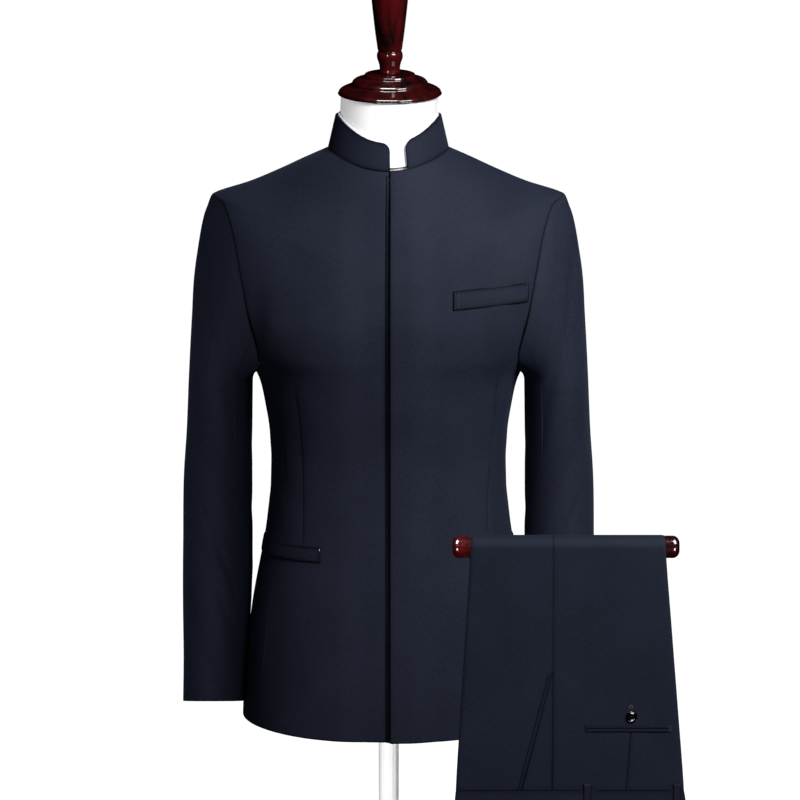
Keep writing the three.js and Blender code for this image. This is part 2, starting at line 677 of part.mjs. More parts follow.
function tubeAlong(points, radius, bend, sides = 8) {
  const path = new THREE.CurvePath();
  let from = points[0];
  for (let i = 1; i < points.length - 1; i++) {
    const before = points[i].clone().add(points[i - 1].clone().sub(points[i]).setLength(bend));
    const after = points[i].clone().add(points[i + 1].clone().sub(points[i]).setLength(bend));
    path.add(new THREE.LineCurve3(from, before));
    path.add(new THREE.QuadraticBezierCurve3(before, points[i], after));
    from = after;
  }
  path.add(new THREE.LineCurve3(from, points[points.length - 1]));
  const line = [];
  for (const [i, curve] of path.curves.entries()) {
    const count = i % 2 ? 5 : 1;
    line.push(...curve.getPoints(count).slice(i ? 1 : 0));
  }
  const rings = line.map((p, i) => {
    const ahead = line[Math.min(i + 1, line.length - 1)];
    const behind = line[Math.max(i - 1, 0)];
    const along = ahead.clone().sub(behind).normalize();
    const flat = points[1].clone().sub(points[0]).cross(points[2].clone().sub(points[1])).normalize();
    const side = new THREE.Vector3().crossVectors(along, flat).normalize();
    return steps(sides).slice(1).map((t) => p.clone()
      .addScaledVector(side, radius * Math.cos(t * 2 * Math.PI))
      .addScaledVector(flat, radius * Math.sin(t * 2 * Math.PI)));
  });
  return loftGeometry(rings);
}

function addBar() {
  const half = (BAR.toX - BAR.fromX) / 2;
  const knob = (length) => {
    const end = steps(3).map((t) => [
      KNOB.radius - KNOB.rounding * (1 - Math.sin(t * Math.PI / 2)),
      -half + KNOB.rounding * (1 - Math.cos(t * Math.PI / 2)),
    ]);
    return [[0, -half], ...end, [KNOB.radius, -half + length - KNOB.step], [BAR.radius, -half + length]];
  };
  const rightKnob = knob(KNOB.rightLength).map(([r, h]) => [r, -h]).reverse();
  const bar = turned([...knob(KNOB.leftLength), ...rightKnob], 20);
  bar.rotateY(Math.PI / 2);
  bar.translate((BAR.fromX + BAR.toX) / 2, BAR.y, BAR.z);
  addMesh('trouser_bar', bar, RED_WOOD);

  const leftX = BAR.fromX + FORK_INSET;
  const rightX = BAR.toX - FORK_INSET;
  const seatY = BAR.y + KNOB.radius + 2 * SEAM;
  addMesh('bar_fork', tubeAlong([
    new THREE.Vector3(leftX, seatY, BAR.z),
    new THREE.Vector3(leftX, FORK_Y, BAR.z),
    new THREE.Vector3(rightX, FORK_Y, BAR.z),
    new THREE.Vector3(rightX, seatY, BAR.z),
  ], FORK_TUBE, 12), WHITE_STEEL);

  const foot = new THREE.Vector3((leftX + rightX) / 2, FORK_Y, CLAMP_Z);
  const start = foot.clone().setZ(0).setLength(CLAMP_RADIUS + 2 * SEAM).setZ(CLAMP_Z);
  const head = foot.clone().setZ(BAR.z - FORK_TUBE - 2 * SEAM);
  addMesh('bar_riser', tubeAlong([start, foot, head], ARM_TUBE, BEND), WHITE_STEEL);
  const bore = POST_RADIUS + POST_CLEARANCE;
  addMesh('bar_clamp', ringGeometry(bore, CLAMP_RADIUS, CLAMP_Z - 16, CLAMP_Z + 16, 16), WHITE_STEEL);
}

// The trousers hang folded over the bar, waist in front. A place on them is given by the way along the
// cloth from the waist seam, the way across it as a share of its width, and the height off the bar's side.
const TROUSER = makeTable(
  ['along', 'left', 'right'],
  [
    [-38, 78.3, 359.2], // lower edge of the waistband, as it hangs
    [0, 80.8, 354.2], // waist seam
    [100, 86.5, 345.9],
    [200, 92.3, 337.3],
    [300, 98, 329],
    [370, 99.5, 325], // over the bar
    [480, 101.5, 319.5],
    [600, 104, 317], // knee
    [800, 109.5, 311.5],
    [990, 116, 305], // hem
  ],
);
const WAIST_SEAM_Z = 741;
const TROUSER_LENGTH = 990;
const WAISTBAND = 38;
const SIDE_SEAM = 0.425; // share of the width from the front crease to the side seam
const HIDDEN_FACE = 0.7; // the hidden layers' face above the bar, and their depth
const HIDDEN_DEPTH = 2.4;
const CLOTH_FACE = HIDDEN_FACE + HIDDEN_DEPTH + 0.4;
const CREASE = 1.7; // radius of the pressed crease
const POCKET_TOP_ALONG = 151;
const POCKET_MOUTH = 0.283; // share of the width where the slanting pocket meets the waistband
const FRONT_DROP = BAR.z - WAIST_SEAM_Z;
const OVER_BAR = Math.PI * BAR.radius;

function trouserWidth(along) {
  const rows = TROUSER.map((row) => row.along);
  const i = clamp(rows.findIndex((a) => a > along) - 1, 0, rows.length - 2);
  const share = (along - rows[i]) / (rows[i + 1] - rows[i]);
  return readTable(TROUSER, i + Math.min(share, 1));
}

// Straight down in front, half round the bar, and straight down behind.
function hangPoint(x, along, height) {
  const radius = BAR.radius + height;
  if (along < FRONT_DROP) {
    return new THREE.Vector3(x, BAR.y - radius, BAR.z - FRONT_DROP + along);
  }
  const turn = (along - FRONT_DROP) / BAR.radius;
  if (turn < Math.PI) {
    return new THREE.Vector3(x, BAR.y - radius * Math.cos(turn), BAR.z + radius * Math.sin(turn));
  }
  return new THREE.Vector3(x, BAR.y + radius, BAR.z - (along - FRONT_DROP - OVER_BAR));
}

function clothPoint(share, along, height) {
  const { left, right } = trouserWidth(along);
  return hangPoint(lerp(left, right, share), along, height);
}

const ALONG_FRONT = [0, 50, 100, POCKET_TOP_ALONG, 200, 250, FRONT_DROP];
const ALONG_BAR = steps(8).slice(1).map((t) => FRONT_DROP + OVER_BAR * t);
const ALONG_REAR = [400, 480, 600, 700, 800, 900, TROUSER_LENGTH];
const ALONG_ALL = [...ALONG_FRONT, ...ALONG_BAR, ...ALONG_REAR];

// From a share of the width flat out to the crease, and round it. The direction is -1 for the front crease
// and 1 for the back crease.
function creasedRow(along, fromShare, direction, offset) {
  const { left, right } = trouserWidth(along);
  const edge = direction < 0 ? left : right;
  const start = lerp(left, right, fromShare) + direction * SEAM;
  const face = CLOTH_FACE + TROUSER_WALL;
  const turnX = edge - direction * CREASE;
  const flat = steps(3).map((t) => hangPoint(lerp(start, turnX, t), along, face + offset));
  const curl = steps(3).slice(1).map((t) => {
    const turn = t * Math.PI / 2;
    const radius = CREASE + offset;
    const x = turnX + direction * radius * Math.sin(turn);
    return hangPoint(x, along, face - CREASE + radius * Math.cos(turn));
  });
  return [...flat, ...curl];
}

// The front panel stops at the slanting pocket's mouth above the hip, and at the side seam below it.
function frontStart(along) {
  const share = clamp(along / POCKET_TOP_ALONG, 0, 1);
  return lerp(POCKET_MOUTH, SIDE_SEAM, share);
}

function addTrouserPanels() {
  const front = (offset) => ALONG_ALL.map((along) => creasedRow(along, frontStart(along), -1, offset));
  const back = (offset) => ALONG_ALL.map((along) => creasedRow(along, SIDE_SEAM, 1, offset));
  addWall('trouser_front', front(0), front(-TROUSER_WALL), NAVY);
  addWall('trouser_back', back(0), back(-TROUSER_WALL), NAVY);

  const facingTop = POCKET_TOP_ALONG - 6;
  const facing = (offset) => [0, 50, 100, facingTop].map((along) => {
    const { left, right } = trouserWidth(along);
    const from = lerp(left, right, frontStart(along)) + SEAM;
    const to = lerp(left, right, SIDE_SEAM) - SEAM;
    return steps(2).map((t) => hangPoint(lerp(from, to, t), along, CLOTH_FACE + TROUSER_WALL + offset));
  });
  addWall('pocket_facing', facing(-0.2), facing(-TROUSER_WALL), NAVY);
}

// The leg's other half and the second leg, pressed together: one body with the layers stepped at its edges.
const LAYER_EDGE = makeTable(
  ['inset', 'height'],
  [[1.1, 0], [0.4, 0.3], [0.4, 0.9], [1, 1.1], [1.6, 1.3], [1.6, 2], [2, HIDDEN_DEPTH]],
);

function addHiddenLayers() {
  const rings = [-WAISTBAND, ...ALONG_ALL].map((along) => {
    const { left, right } = trouserWidth(along);
    const middle = (left + right) / 2;
    const leftSide = LAYER_EDGE.map((row) => [left + row.inset, row.height]);
    const rightSide = LAYER_EDGE.map((row) => [right - row.inset, row.height]).reverse();
    const outline = [...leftSide, [middle, HIDDEN_DEPTH], ...rightSide, [middle, 0]];
    return outline.map(([x, height]) => hangPoint(x, along, HIDDEN_FACE + height));
  });
  addMesh('trouser_layers', loftGeometry(rings), NAVY);
}

// What is sewn on the trousers: the waistband, its loops, the welted back pocket and its button.
const WAISTBAND_WALL = 1.6;
const LOOPS = [238.4, 345.6];
const LOOP = { width: 9.5, fromAlong: -WAISTBAND + 1, toAlong: 9.5, wall: 1 };
const POCKET = { fromX: 235.4, toX: 338.2, along: 76.5, wall: 1 };
const JETS = [
  { name: 'pocket_jet_upper', from: 0.3, to: 4.1 },
  { name: 'pocket_jet_lower', from: -4.1, to: -0.3 },
];
const POCKET_BUTTON = { x: 290.4, along: 91.4, radius: 6.8, rim: 1.2, depth: 2.6 };

function patchWall(fromX, toX, fromAlong, toAlong, low, high) {
  const grid = (height) => steps(1).map((t) => steps(1).map((u) =>
    hangPoint(lerp(fromX, toX, u), lerp(fromAlong, toAlong, t), height)));
  return [grid(high), grid(low)];
}

function addTrouserDetails() {
  const face = CLOTH_FACE + TROUSER_WALL;
  const band = (height) => [-WAISTBAND, -2 * SEAM].map((along) =>
    steps(4).map((share) => clothPoint(share, along, height)));
  addWall('waistband', band(CLOTH_FACE + WAISTBAND_WALL), band(CLOTH_FACE), NAVY);
  LOOPS.forEach((x, i) => {
    const low = CLOTH_FACE + WAISTBAND_WALL + 2 * SEAM;
    const place = [x - LOOP.width / 2, x + LOOP.width / 2, LOOP.fromAlong, LOOP.toAlong];
    const [outer, inner] = patchWall(...place, low, low + LOOP.wall);
    addWall(`belt_loop_${i + 1}`, outer, inner, NAVY);
  });
  for (const { name, from, to } of JETS) {
    const place = [POCKET.fromX, POCKET.toX, POCKET.along + from, POCKET.along + to];
    const [outer, inner] = patchWall(...place, face + 2 * SEAM, face + 2 * SEAM + POCKET.wall);
    addWall(name, outer, inner, NAVY);
  }
  const { radius, rim, depth } = POCKET_BUTTON;
  const back = face + 2 * SEAM;
  const profile = [
    [0, 0], [radius - rim, 0], [radius, rim * 0.6], [radius, depth - rim], [radius - rim, depth],
    [radius - 2 * rim, depth - rim * 0.5], [0, depth - rim * 0.5],
  ];
  const button = turned(profile, 20);
  button.rotateX(Math.PI / 2);
  const place = hangPoint(POCKET_BUTTON.x, POCKET_BUTTON.along, back);
  button.translate(place.x, place.y, place.z);
  addMesh('pocket_button', button, BLACK_HORN);
}

addFronts();
addBacks();
addSides();
addSleeves();
addCollar();
addClosing();
addWelts();
addForm();
addNeckCap();
addStand();
addBar();
addTrouserPanels();
addHiddenLayers();
addTrouserDetails();

export default suit;
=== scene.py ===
import bmesh
import bpy
import numpy as np
from mathutils import Matrix, Vector


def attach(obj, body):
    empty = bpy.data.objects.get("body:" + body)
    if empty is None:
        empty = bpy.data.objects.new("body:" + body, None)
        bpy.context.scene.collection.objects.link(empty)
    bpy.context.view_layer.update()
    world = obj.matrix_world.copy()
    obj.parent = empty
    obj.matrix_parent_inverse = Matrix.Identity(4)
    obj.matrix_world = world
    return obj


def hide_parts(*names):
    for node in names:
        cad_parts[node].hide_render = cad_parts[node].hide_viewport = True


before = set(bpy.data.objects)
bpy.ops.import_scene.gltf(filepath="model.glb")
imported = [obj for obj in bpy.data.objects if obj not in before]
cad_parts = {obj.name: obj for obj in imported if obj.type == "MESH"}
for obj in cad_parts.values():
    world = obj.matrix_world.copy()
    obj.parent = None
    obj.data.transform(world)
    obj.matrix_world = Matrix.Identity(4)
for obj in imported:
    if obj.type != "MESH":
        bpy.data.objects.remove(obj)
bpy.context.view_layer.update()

# The studio
# A cut-out picture on white, seen through a long lens from a little above the jacket's middle. One large soft
# lamp stands high at the right. A few pieces have a lamp of their own, and the glint lamps light only the
# polished wood and the pocket's button. The trousers throw no shadow in the large lamp.
CAMERA_AIM = Vector((0.0142, 0, 1.1845))
CAMERA_DISTANCE = 4.5
CAMERA_RISE = np.radians(8)
CAMERA_LENS = 163.97
FLOOR_RADIUS = 90
FLOOR_GLOW = 0.95
SKY_LIGHT = 0.10
BACKDROP_LIGHT = 1.05

camera_data = bpy.data.cameras.new("camera")
camera_data.lens = CAMERA_LENS
camera_data.sensor_width = 36
camera_data.clip_end = 300
camera = bpy.data.objects.new("camera", camera_data)
away = Vector((0, -np.cos(CAMERA_RISE), np.sin(CAMERA_RISE)))
camera.location = CAMERA_AIM + away * CAMERA_DISTANCE
camera.rotation_euler = (-away).to_track_quat("-Z", "Y").to_euler()
bpy.context.scene.collection.objects.link(camera)
bpy.context.scene.camera = camera
bpy.context.scene.view_settings.view_transform = "Standard"

LAMPS = {  # place, aim, width, depth, power and colour
    "key_lamp": ((0.98, -1.3, 2.45), (0, 0, 1.3), 0.8, 0.8, 59, (1, 0.99, 0.98)),
    "left_lamp": ((-1.0, -2.6, 2.0), (0, 0, 1.3), 0.4, 0.4, 5, (0.96, 0.98, 1)),
    "neck_lamp": ((-1.1, -0.9, 1.75), (0, 0, 1.54), 0.4, 0.4, 9),
    "post_lamp": ((-0.3, -1.5, 0.8), (0, 0, 0.7), 0.5, 0.5, 26),
    "sleeve_lamp": ((-0.75, -2.3, 1.7), (-0.21, 0, 1.1), 0.5, 0.5, 23),
    "bar_lamp": ((0.21, -0.8, 1.4), (0.21, -0.19, 1.035), 0.3, 0.3, 5),
    "back_lamp": ((1.3, 2.3, 1.3), (0, 0, 1.1), 1.2, 1.2, 18),
    "cap_glint": ((-0.12, -1.1, 3.0), (0, 0, 1.57), 1.1, 0.45, 60),
    "finial_glint": ((-0.75, -2.0, 1.9), (0, 0, 1.65), 0.16, 0.9, 7),
    "left_knob_glint": ((-0.14, -0.36, 1.42), (0.085, -0.19, 1.035), 0.26, 0.32, 8),
    "right_knob_glint": ((0.58, -0.36, 1.42), (0.34, -0.19, 1.035), 0.26, 0.32, 8),
    "left_knob_low_glint": ((-0.13, -0.56, 0.91), (0.085, -0.19, 1.035), 0.16, 0.16, 2.2),
    "right_knob_low_glint": ((0.55, -0.56, 0.91), (0.34, -0.19, 1.035), 0.16, 0.16, 2.2),
    "button_glint": ((0.27, -0.6, 1.15), (0.29, -0.21, 0.83), 0.22, 0.14, 1.6),
    "button_low_glint": ((0.27, -0.55, 0.45), (0.29, -0.21, 0.83), 0.22, 0.14, 1.6),
}


def add_lamp(name, place, aim, width, depth, power, colour=(1, 1, 1)):
    data = bpy.data.lights.new(name, "AREA")
    data.shape = "RECTANGLE"
    data.size = width
    data.size_y = depth
    data.energy = power
    data.color = colour
    lamp = bpy.data.objects.new(name, data)
    lamp.location = place
    lamp.rotation_euler = (Vector(aim) - Vector(place)).to_track_quat("-Z", "Y").to_euler()
    lamp.visible_camera = False
    lamp.visible_diffuse = not name.endswith("glint")
    lamp.visible_glossy = name not in ("bar_lamp", "back_lamp")
    bpy.context.scene.collection.objects.link(lamp)
    return lamp


lamps = {name: add_lamp(name, *values) for name, values in LAMPS.items()}


def link_lamp(name, pieces, role="receiver_collection", state="INCLUDE"):
    """Says which pieces this lamp lights, or which ones throw no shadow in it."""
    lamp = lamps[name]
    group = bpy.data.collections.new(f"{lamp.name}_{state.lower()}")
    for piece in pieces:
        group.objects.link(bpy.data.objects[piece])
    for item in group.collection_objects:
        item.light_linking.link_state = state
    setattr(lamp.light_linking, role, group)


world = bpy.data.worlds.new("studio")
world.use_nodes = True
backdrop = world.node_tree.nodes["Background"]
backdrop.inputs["Color"].default_value = (0.96, 0.98, 1, 1)
seen = world.node_tree.nodes.new("ShaderNodeLightPath")
glow = world.node_tree.nodes.new("ShaderNodeMapRange")
glow.inputs["To Min"].default_value = SKY_LIGHT
glow.inputs["To Max"].default_value = BACKDROP_LIGHT
world.node_tree.links.new(seen.outputs["Is Camera Ray"], glow.inputs["Value"])
world.node_tree.links.new(glow.outputs["Result"], backdrop.inputs["Strength"])
bpy.context.scene.world = world
world.cycles_visibility.glossy = False


def start_material(name, settings):
    """A material whose shader has these fixed settings, with its nodes and its shader."""
    material = bpy.data.materials.new(name)
    material.use_nodes = True
    nodes = material.node_tree.nodes
    shader = nodes["Principled BSDF"]
    for socket, value in settings.items():
        shader.inputs[socket].default_value = value
    return material, nodes, shader


def add_node(nodes, kind, values=None, **settings):
    node = nodes.new(kind)
    for key, value in settings.items():
        setattr(node, key, value)
    for socket, value in (values or {}).items():
        node.inputs[socket].default_value = value
    return node


def wire(start, out, end, into):
    start.id_data.links.new(start.outputs[out], end.inputs[into])


def add_shades(nodes, source, out, dark, light, low=0, high=1):
    """A colour between dark and light, as the source runs from low to high."""
    shade = add_node(nodes, "ShaderNodeValToRGB")
    for element, place, colour in zip(shade.color_ramp.elements, (low, high), (dark, light)):
        element.position = place
        element.color = (*colour, 1)
    wire(source, out, shade, "Fac")
    return shade


def add_bump(nodes, shader, source, out, strength, lift):
    bump = add_node(nodes, "ShaderNodeBump", {"Strength": strength, "Distance": lift})
    wire(source, out, bump, "Height")
    wire(bump, "Normal", shader, "Normal")


def mix_noises(nodes, first, second, share):
    both = add_node(nodes, "ShaderNodeMix", {"Factor": share}, data_type="FLOAT")
    wire(first, "Fac", both, "A")
    wire(second, "Fac", both, "B")
    return both


def grained_material(name, settings, scale, detail, dark, light, bump=None):
    """A finish whose colour wanders between two shades, with a bump of the same grain if it has one."""
    material, nodes, shader = start_material(name, settings)
    place = add_node(nodes, "ShaderNodeTexCoord")
    grain = add_node(nodes, "ShaderNodeTexNoise", {"Scale": scale, "Detail": detail})
    wire(place, "Object", grain, "Vector")
    wire(add_shades(nodes, grain, "Fac", dark, light), "Color", shader, "Base Color")
    if bump:
        add_bump(nodes, shader, grain, "Fac", *bump)
    return material


pale_floor = grained_material("pale_floor", {
    "Roughness": 0.9, "Emission Color": (1, 1, 1, 1), "Emission Strength": FLOOR_GLOW,
}, 0.8, 2, (0.80, 0.80, 0.81), (0.84, 0.84, 0.84))
floor_form = bmesh.new()
bmesh.ops.create_circle(floor_form, cap_ends=True, segments=64, radius=FLOOR_RADIUS)
floor_mesh = bpy.data.meshes.new("floor")
floor_form.to_mesh(floor_mesh)
floor_form.free()
floor_mesh.materials.append(pale_floor)
floor = bpy.data.objects.new("floor", floor_mesh)
floor.visible_diffuse = False
floor.visible_glossy = False
bpy.context.scene.collection.objects.link(floor)

# The jacket's fronts
# Each is cut in one piece from fine navy wool, canvassed and lined, and counts as a wall of 2 mm. One long
# dart shapes it from the chest to the pocket, and the wearer's left front lies over the right one.
MM = 0.001
JACKET_WALL = 2
SEAM = -0.05  # neighbouring pieces meet without a gap, and just run into each other
CLOTH_STEP = 5
RIM_STEPS = (0, 0.3, 0.75, 1.5)
LINE_STEPS = (0, 0.5, 1.2)
INNER_TURN = 0.35
SEAM_ALLOWANCE = 12
NARROW = 60  # a narrower strip's cut is taken as it shows, with no allowance
FINE_STRIP = 10  # a loop or jet is folded in three, so its strip was cut three times as wide
FOLDED = 3
HEM = 40
MIRROR = np.array([-1, 1, 1])
BODY = np.array([  # side, front and back height, half width, reach to the front and back, how square
    [792, 781, 799, 182, 128, 127, 2.45],  # hem
    [860, 853, 866, 178.3, 126, 130, 2.45],
    [935, 931, 939, 169.2, 121, 124, 2.4],
    [1035, 1033, 1037, 151, 111, 108, 2.35],
    [1122, 1122, 1122, 145, 108, 97, 2.3],  # waist
    [1185, 1185, 1185, 152.5, 114, 101, 2.3],
    [1222, 1222, 1222, 163, 118, 106, 2.3],  # bottom of the armhole
    [1250, 1250, 1252, 186, 121, 110, 2.35],
    [1295, 1290, 1297, 207, 122, 114, 2.4],
    [1350, 1335, 1345, 214, 117, 114, 2.3],  # middle of the armhole
    [1400, 1372, 1388, 214, 109, 110, 2.05],
    [1430, 1395, 1413, 212.8, 103, 105, 1.7],
    [1441.6, 1412, 1430, 212.7, 98, 99, 1.45],  # shoulder point
    [1456, 1430, 1455, 169, 91, 88, 1.5],
    [1471, 1447, 1476, 133, 84, 78, 1.65],
    [1485.6, 1460, 1493, 101, 78, 70, 1.85],
    [1497, 1473.5, 1506, 74, 72, 62, 2.05],  # neckline
])
HALF, FRONT, SQUARE = 3, 4, 6  # columns of the table
NECK_LEVEL = 16
NECK_STOP = NECK_LEVEL - 0.004
ARMHOLE_MIDDLE = 9
ARMHOLE_REACH = 3
ARMHOLE_TOP = ARMHOLE_MIDDLE + ARMHOLE_REACH
ARMHOLE_FRONT = np.radians(36)
ARMHOLE_BACK = np.radians(34)
ARMHOLE_SCOOP = 0.42
FRONT_SEAM = np.radians(135)
BACK_SEAM = np.radians(225)
OVER_EDGE_X = 2
UNDER_EDGE_X = -22
LAP_FLAT_X = 24
LAP_END_X = 62
OVER_LIFT = 4.2
UNDER_DIP = 3
LAP_AT_NECK = 0.45


def lerp(a, b, t):
    return a + (b - a) * t


def smooth(low, high, value):
    t = np.clip((value - low) / (high - low), 0, 1)
    return t * t * (3 - 2 * t)


def read_table(table, level):
    """The row of a table at any level between its rows, on a smooth curve through them."""
    level = np.asarray(level, float)
    last = len(table) - 1
    i = np.clip(np.floor(level).astype(int), 0, last - 1)
    t = (level - i)[..., None]
    a, b, c, d = table[np.maximum(i - 1, 0)], table[i], table[i + 1], table[np.minimum(i + 2, last)]
    return b + 0.5 * t * (c - a + t * (2 * a - 5 * b + 4 * c - d + t * (3 * (b - c) + d - a)))


def section_point(row, angle):
    """Round a section of the body: angle 0 is the wearer's left side, -90 degrees the centre front."""
    side, front_z, back_z, half, front, back, square = np.moveaxis(row, -1, 0)
    c, s = np.cos(angle), np.sin(angle)
    power = 2 / square
    x = half * np.sign(c) * np.abs(c) ** power
    y = np.where(s < 0, front, back) * np.sign(s) * np.abs(s) ** power
    z = lerp(side, np.where(s < 0, front_z, back_z), s * s)
    return np.stack([x, y, z], -1)


def body_point(angle, level):
    return section_point(read_table(BODY, level), angle)


def unit(vectors):
    return vectors / np.maximum(np.linalg.norm(vectors, axis=-1, keepdims=True), 1e-9)


def outward(surface, u, v, step=0.01):
    across = surface(u + step, v) - surface(u - step, v)
    up = surface(u, v + step) - surface(u, v - step)
    return unit(np.cross(across, up))


def body_normal(angle, level):
    return outward(body_point, angle, np.clip(level, 0.02, NECK_LEVEL - 0.02))


def flat(direction):
    return unit(direction * np.array([1, 1, 0]))


def angle_at_x(x, level):
    row = read_table(BODY, level)
    share = np.minimum(np.abs(x) / row[..., HALF], 1) ** (row[..., SQUARE] / 2)
    return -np.arccos(np.sign(x) * share)


def armhole_level(turn):
    return ARMHOLE_MIDDLE + ARMHOLE_REACH * np.cos(turn)


def armhole_angle(turn):
    width = np.where(np.sin(turn) > 0, ARMHOLE_FRONT, ARMHOLE_BACK)
    return -width * (1 - ARMHOLE_SCOOP * np.cos(turn)) * np.sin(turn)


def turn_at_level(level, back):
    turn = np.arccos(np.clip((level - ARMHOLE_MIDDLE) / ARMHOLE_REACH, -1, 1))
    return 2 * np.pi - turn if back else turn


def side_angle(level, seam_turn):
    """Where a panel ends on its side: at the side panel, the armhole or the shoulder seam."""
    back = seam_turn > np.pi
    row = read_table(BODY, level)
    gap = (SEAM if back else -SEAM) / row[..., FRONT]
    at_armhole = armhole_angle(turn_at_level(level, back)) + gap
    at_shoulder = np.sign(gap) * np.abs(2 * gap) ** (row[..., SQUARE] / 2)
    angle = np.where(level >= ARMHOLE_TOP, at_shoulder, at_armhole)
    return np.where(level <= armhole_level(seam_turn) + 1e-6, armhole_angle(seam_turn) + gap, angle)


def panel_levels(seam_turn):
    """Rows of a panel, a cloth step apart and closer at the hem, round the armhole and at the neck."""
    top = armhole_level(seam_turn)
    below = np.linspace(0, top, 88)
    hem = [0.004, 0.011, 0.021]
    start = 2 * np.pi - seam_turn if seam_turn > np.pi else seam_turn
    around = armhole_level(np.linspace(start, 0, 46))[1:]
    shoulder = np.linspace(ARMHOLE_TOP, NECK_STOP, 32)[1:]
    neck = NECK_STOP - np.array([0.045, 0.022, 0.009])
    return np.unique(np.concatenate([below, hem, around, shoulder, neck]))


def path_length(points, axis):
    steps = np.linalg.norm(np.diff(points, axis=axis), axis=-1)
    start = np.zeros_like(np.take(steps, [0], axis=axis))
    return np.concatenate([start, np.cumsum(steps, axis=axis)], axis)


def gather_columns(stops, step):
    """Places across each row, a step apart, gathered at the two edges and at any line between them."""
    columns = []
    for i in range(len(stops) - 1):
        first = RIM_STEPS if i == 0 else LINE_STEPS
        last = RIM_STEPS if i == len(stops) - 2 else LINE_STEPS
        a = stops[i] + first[-1]
        b = stops[i + 1] - last[-1]
        count = max(2, int(np.ceil((b - a).max() / step)))
        columns += [stops[i] + m for m in (first if i == 0 else first[1:])]
        columns += [a + (b - a) * k / count for k in range(1, count)]
        columns += [stops[i + 1] - m for m in last[::-1]]
    return np.stack(columns, 1)


def gather_row(start, end, step=CLOTH_STEP):
    return gather_columns([np.full(1, float(start)), np.full(1, float(end))], step)[0]


def spread_across(surface, rows, starts, ends, line=None, step=CLOTH_STEP):
    """The surface's first number at every place of the grid, and the column of the line."""
    share = np.linspace(0, 1, 161)
    angle = lerp(starts[:, None], ends[:, None], share)
    arc = path_length(surface(angle, np.broadcast_to(rows[:, None], angle.shape)), 1)
    stops = [np.zeros(len(rows)), arc[:, -1]]
    if line is not None:
        stops.insert(1, np.array([np.interp(x, g, a) for x, g, a in zip(line, angle, arc)]))
    places = gather_columns(stops, step)
    found = np.array([np.interp(p, a, g) for p, a, g in zip(places, arc, angle)])
    column = None if line is None else int(np.argmin(np.abs(places[0] - stops[1][0])))
    return found, column


def turned_edge(distance, radius):
    """How far a face lies below its full height at this distance from an edge that is turned in."""
    short = np.clip(1 - distance / radius, 0, 1)
    return 0.9 * radius * (1 - np.sqrt(1 - short ** 2))


def crease_height(u, v, creases):
    """Soft ridges (above 0) and troughs (below 0): from u, v to u, v, with their height and half width."""
    height = np.zeros_like(u)
    for u0, v0, u1, v1, high, width in creases:
        du, dv = u1 - u0, v1 - v0
        length = np.hypot(du, dv)
        along = ((u - u0) * du + (v - v0) * dv) / length ** 2
        across = ((u - u0) * dv - (v - v0) * du) / length
        fade = np.clip(1 - (2 * along - 1) ** 2, 0, 1) ** 1.5
        height += high * fade * np.exp(-(across / width) ** 2)
    return height


def shell_mesh(name, outer, inner, closed=False):
    """A closed wall between two grids of points, in millimetres."""
    rows, columns = outer.shape[:2]
    r, c = np.meshgrid(np.arange(rows - 1), np.arange(columns if closed else columns - 1), indexing="ij")
    here, right = r * columns + c, r * columns + (c + 1) % columns
    up, far = here + columns, right + columns
    under = rows * columns
    quads = [np.stack([here, right, far, up], -1), np.stack([here, up, far, right], -1) + under]
    start, end = c[0], (c[0] + 1) % columns
    rims = [(start, end, True), (start + (rows - 1) * columns, end + (rows - 1) * columns, False)]
    if not closed:
        start = r[:, 0] * columns
        rims += [(start, start + columns, False), (start + columns - 1, start + 2 * columns - 1, True)]
    for a, b, turned in rims:
        rim = [a, a + under, b + under, b] if turned else [a, b, b + under, a + under]
        quads.append(np.stack(rim, -1))
    quads = np.concatenate([q.reshape(-1, 4) for q in quads])
    points = np.concatenate([outer.reshape(-1, 3), inner.reshape(-1, 3)]) * MM
    first, second, third, fourth = (points[quads[:, i]] for i in range(4))
    volume = (first * (np.cross(second, third) + np.cross(third, fourth))).sum()
    if volume < 0:
        quads = quads[:, ::-1]
    mesh = bpy.data.meshes.new(name)
    mesh.from_pydata(points.tolist(), [], quads.tolist())
    mesh.shade_smooth()
    return mesh


def add_piece(name, mesh, material, node=None):
    """A finished piece at the origin, on the one body."""
    if not mesh.materials:
        mesh.materials.append(material)
    piece = bpy.data.objects.new(name, mesh)
    bpy.context.scene.collection.objects.link(piece)
    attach(piece, "root")
    if node:
        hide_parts(node)
    return piece


def store_on_points(mesh, name, values):
    attribute = mesh.attributes.new(name, "FLOAT", "POINT")
    attribute.data.foreach_set("value", np.concatenate([values.ravel()] * 2).astype(np.float32))


def store_cloth_map(mesh, places):
    """The cloth's own map, in metres along its threads, from the place of each point."""
    corners = np.zeros(len(mesh.loops), int)
    mesh.loops.foreach_get("vertex_index", corners)
    flat_map = (places * MM)[corners]
    mesh.uv_layers.new(name="cloth").data.foreach_set("uv", flat_map.astype(np.float32).ravel())


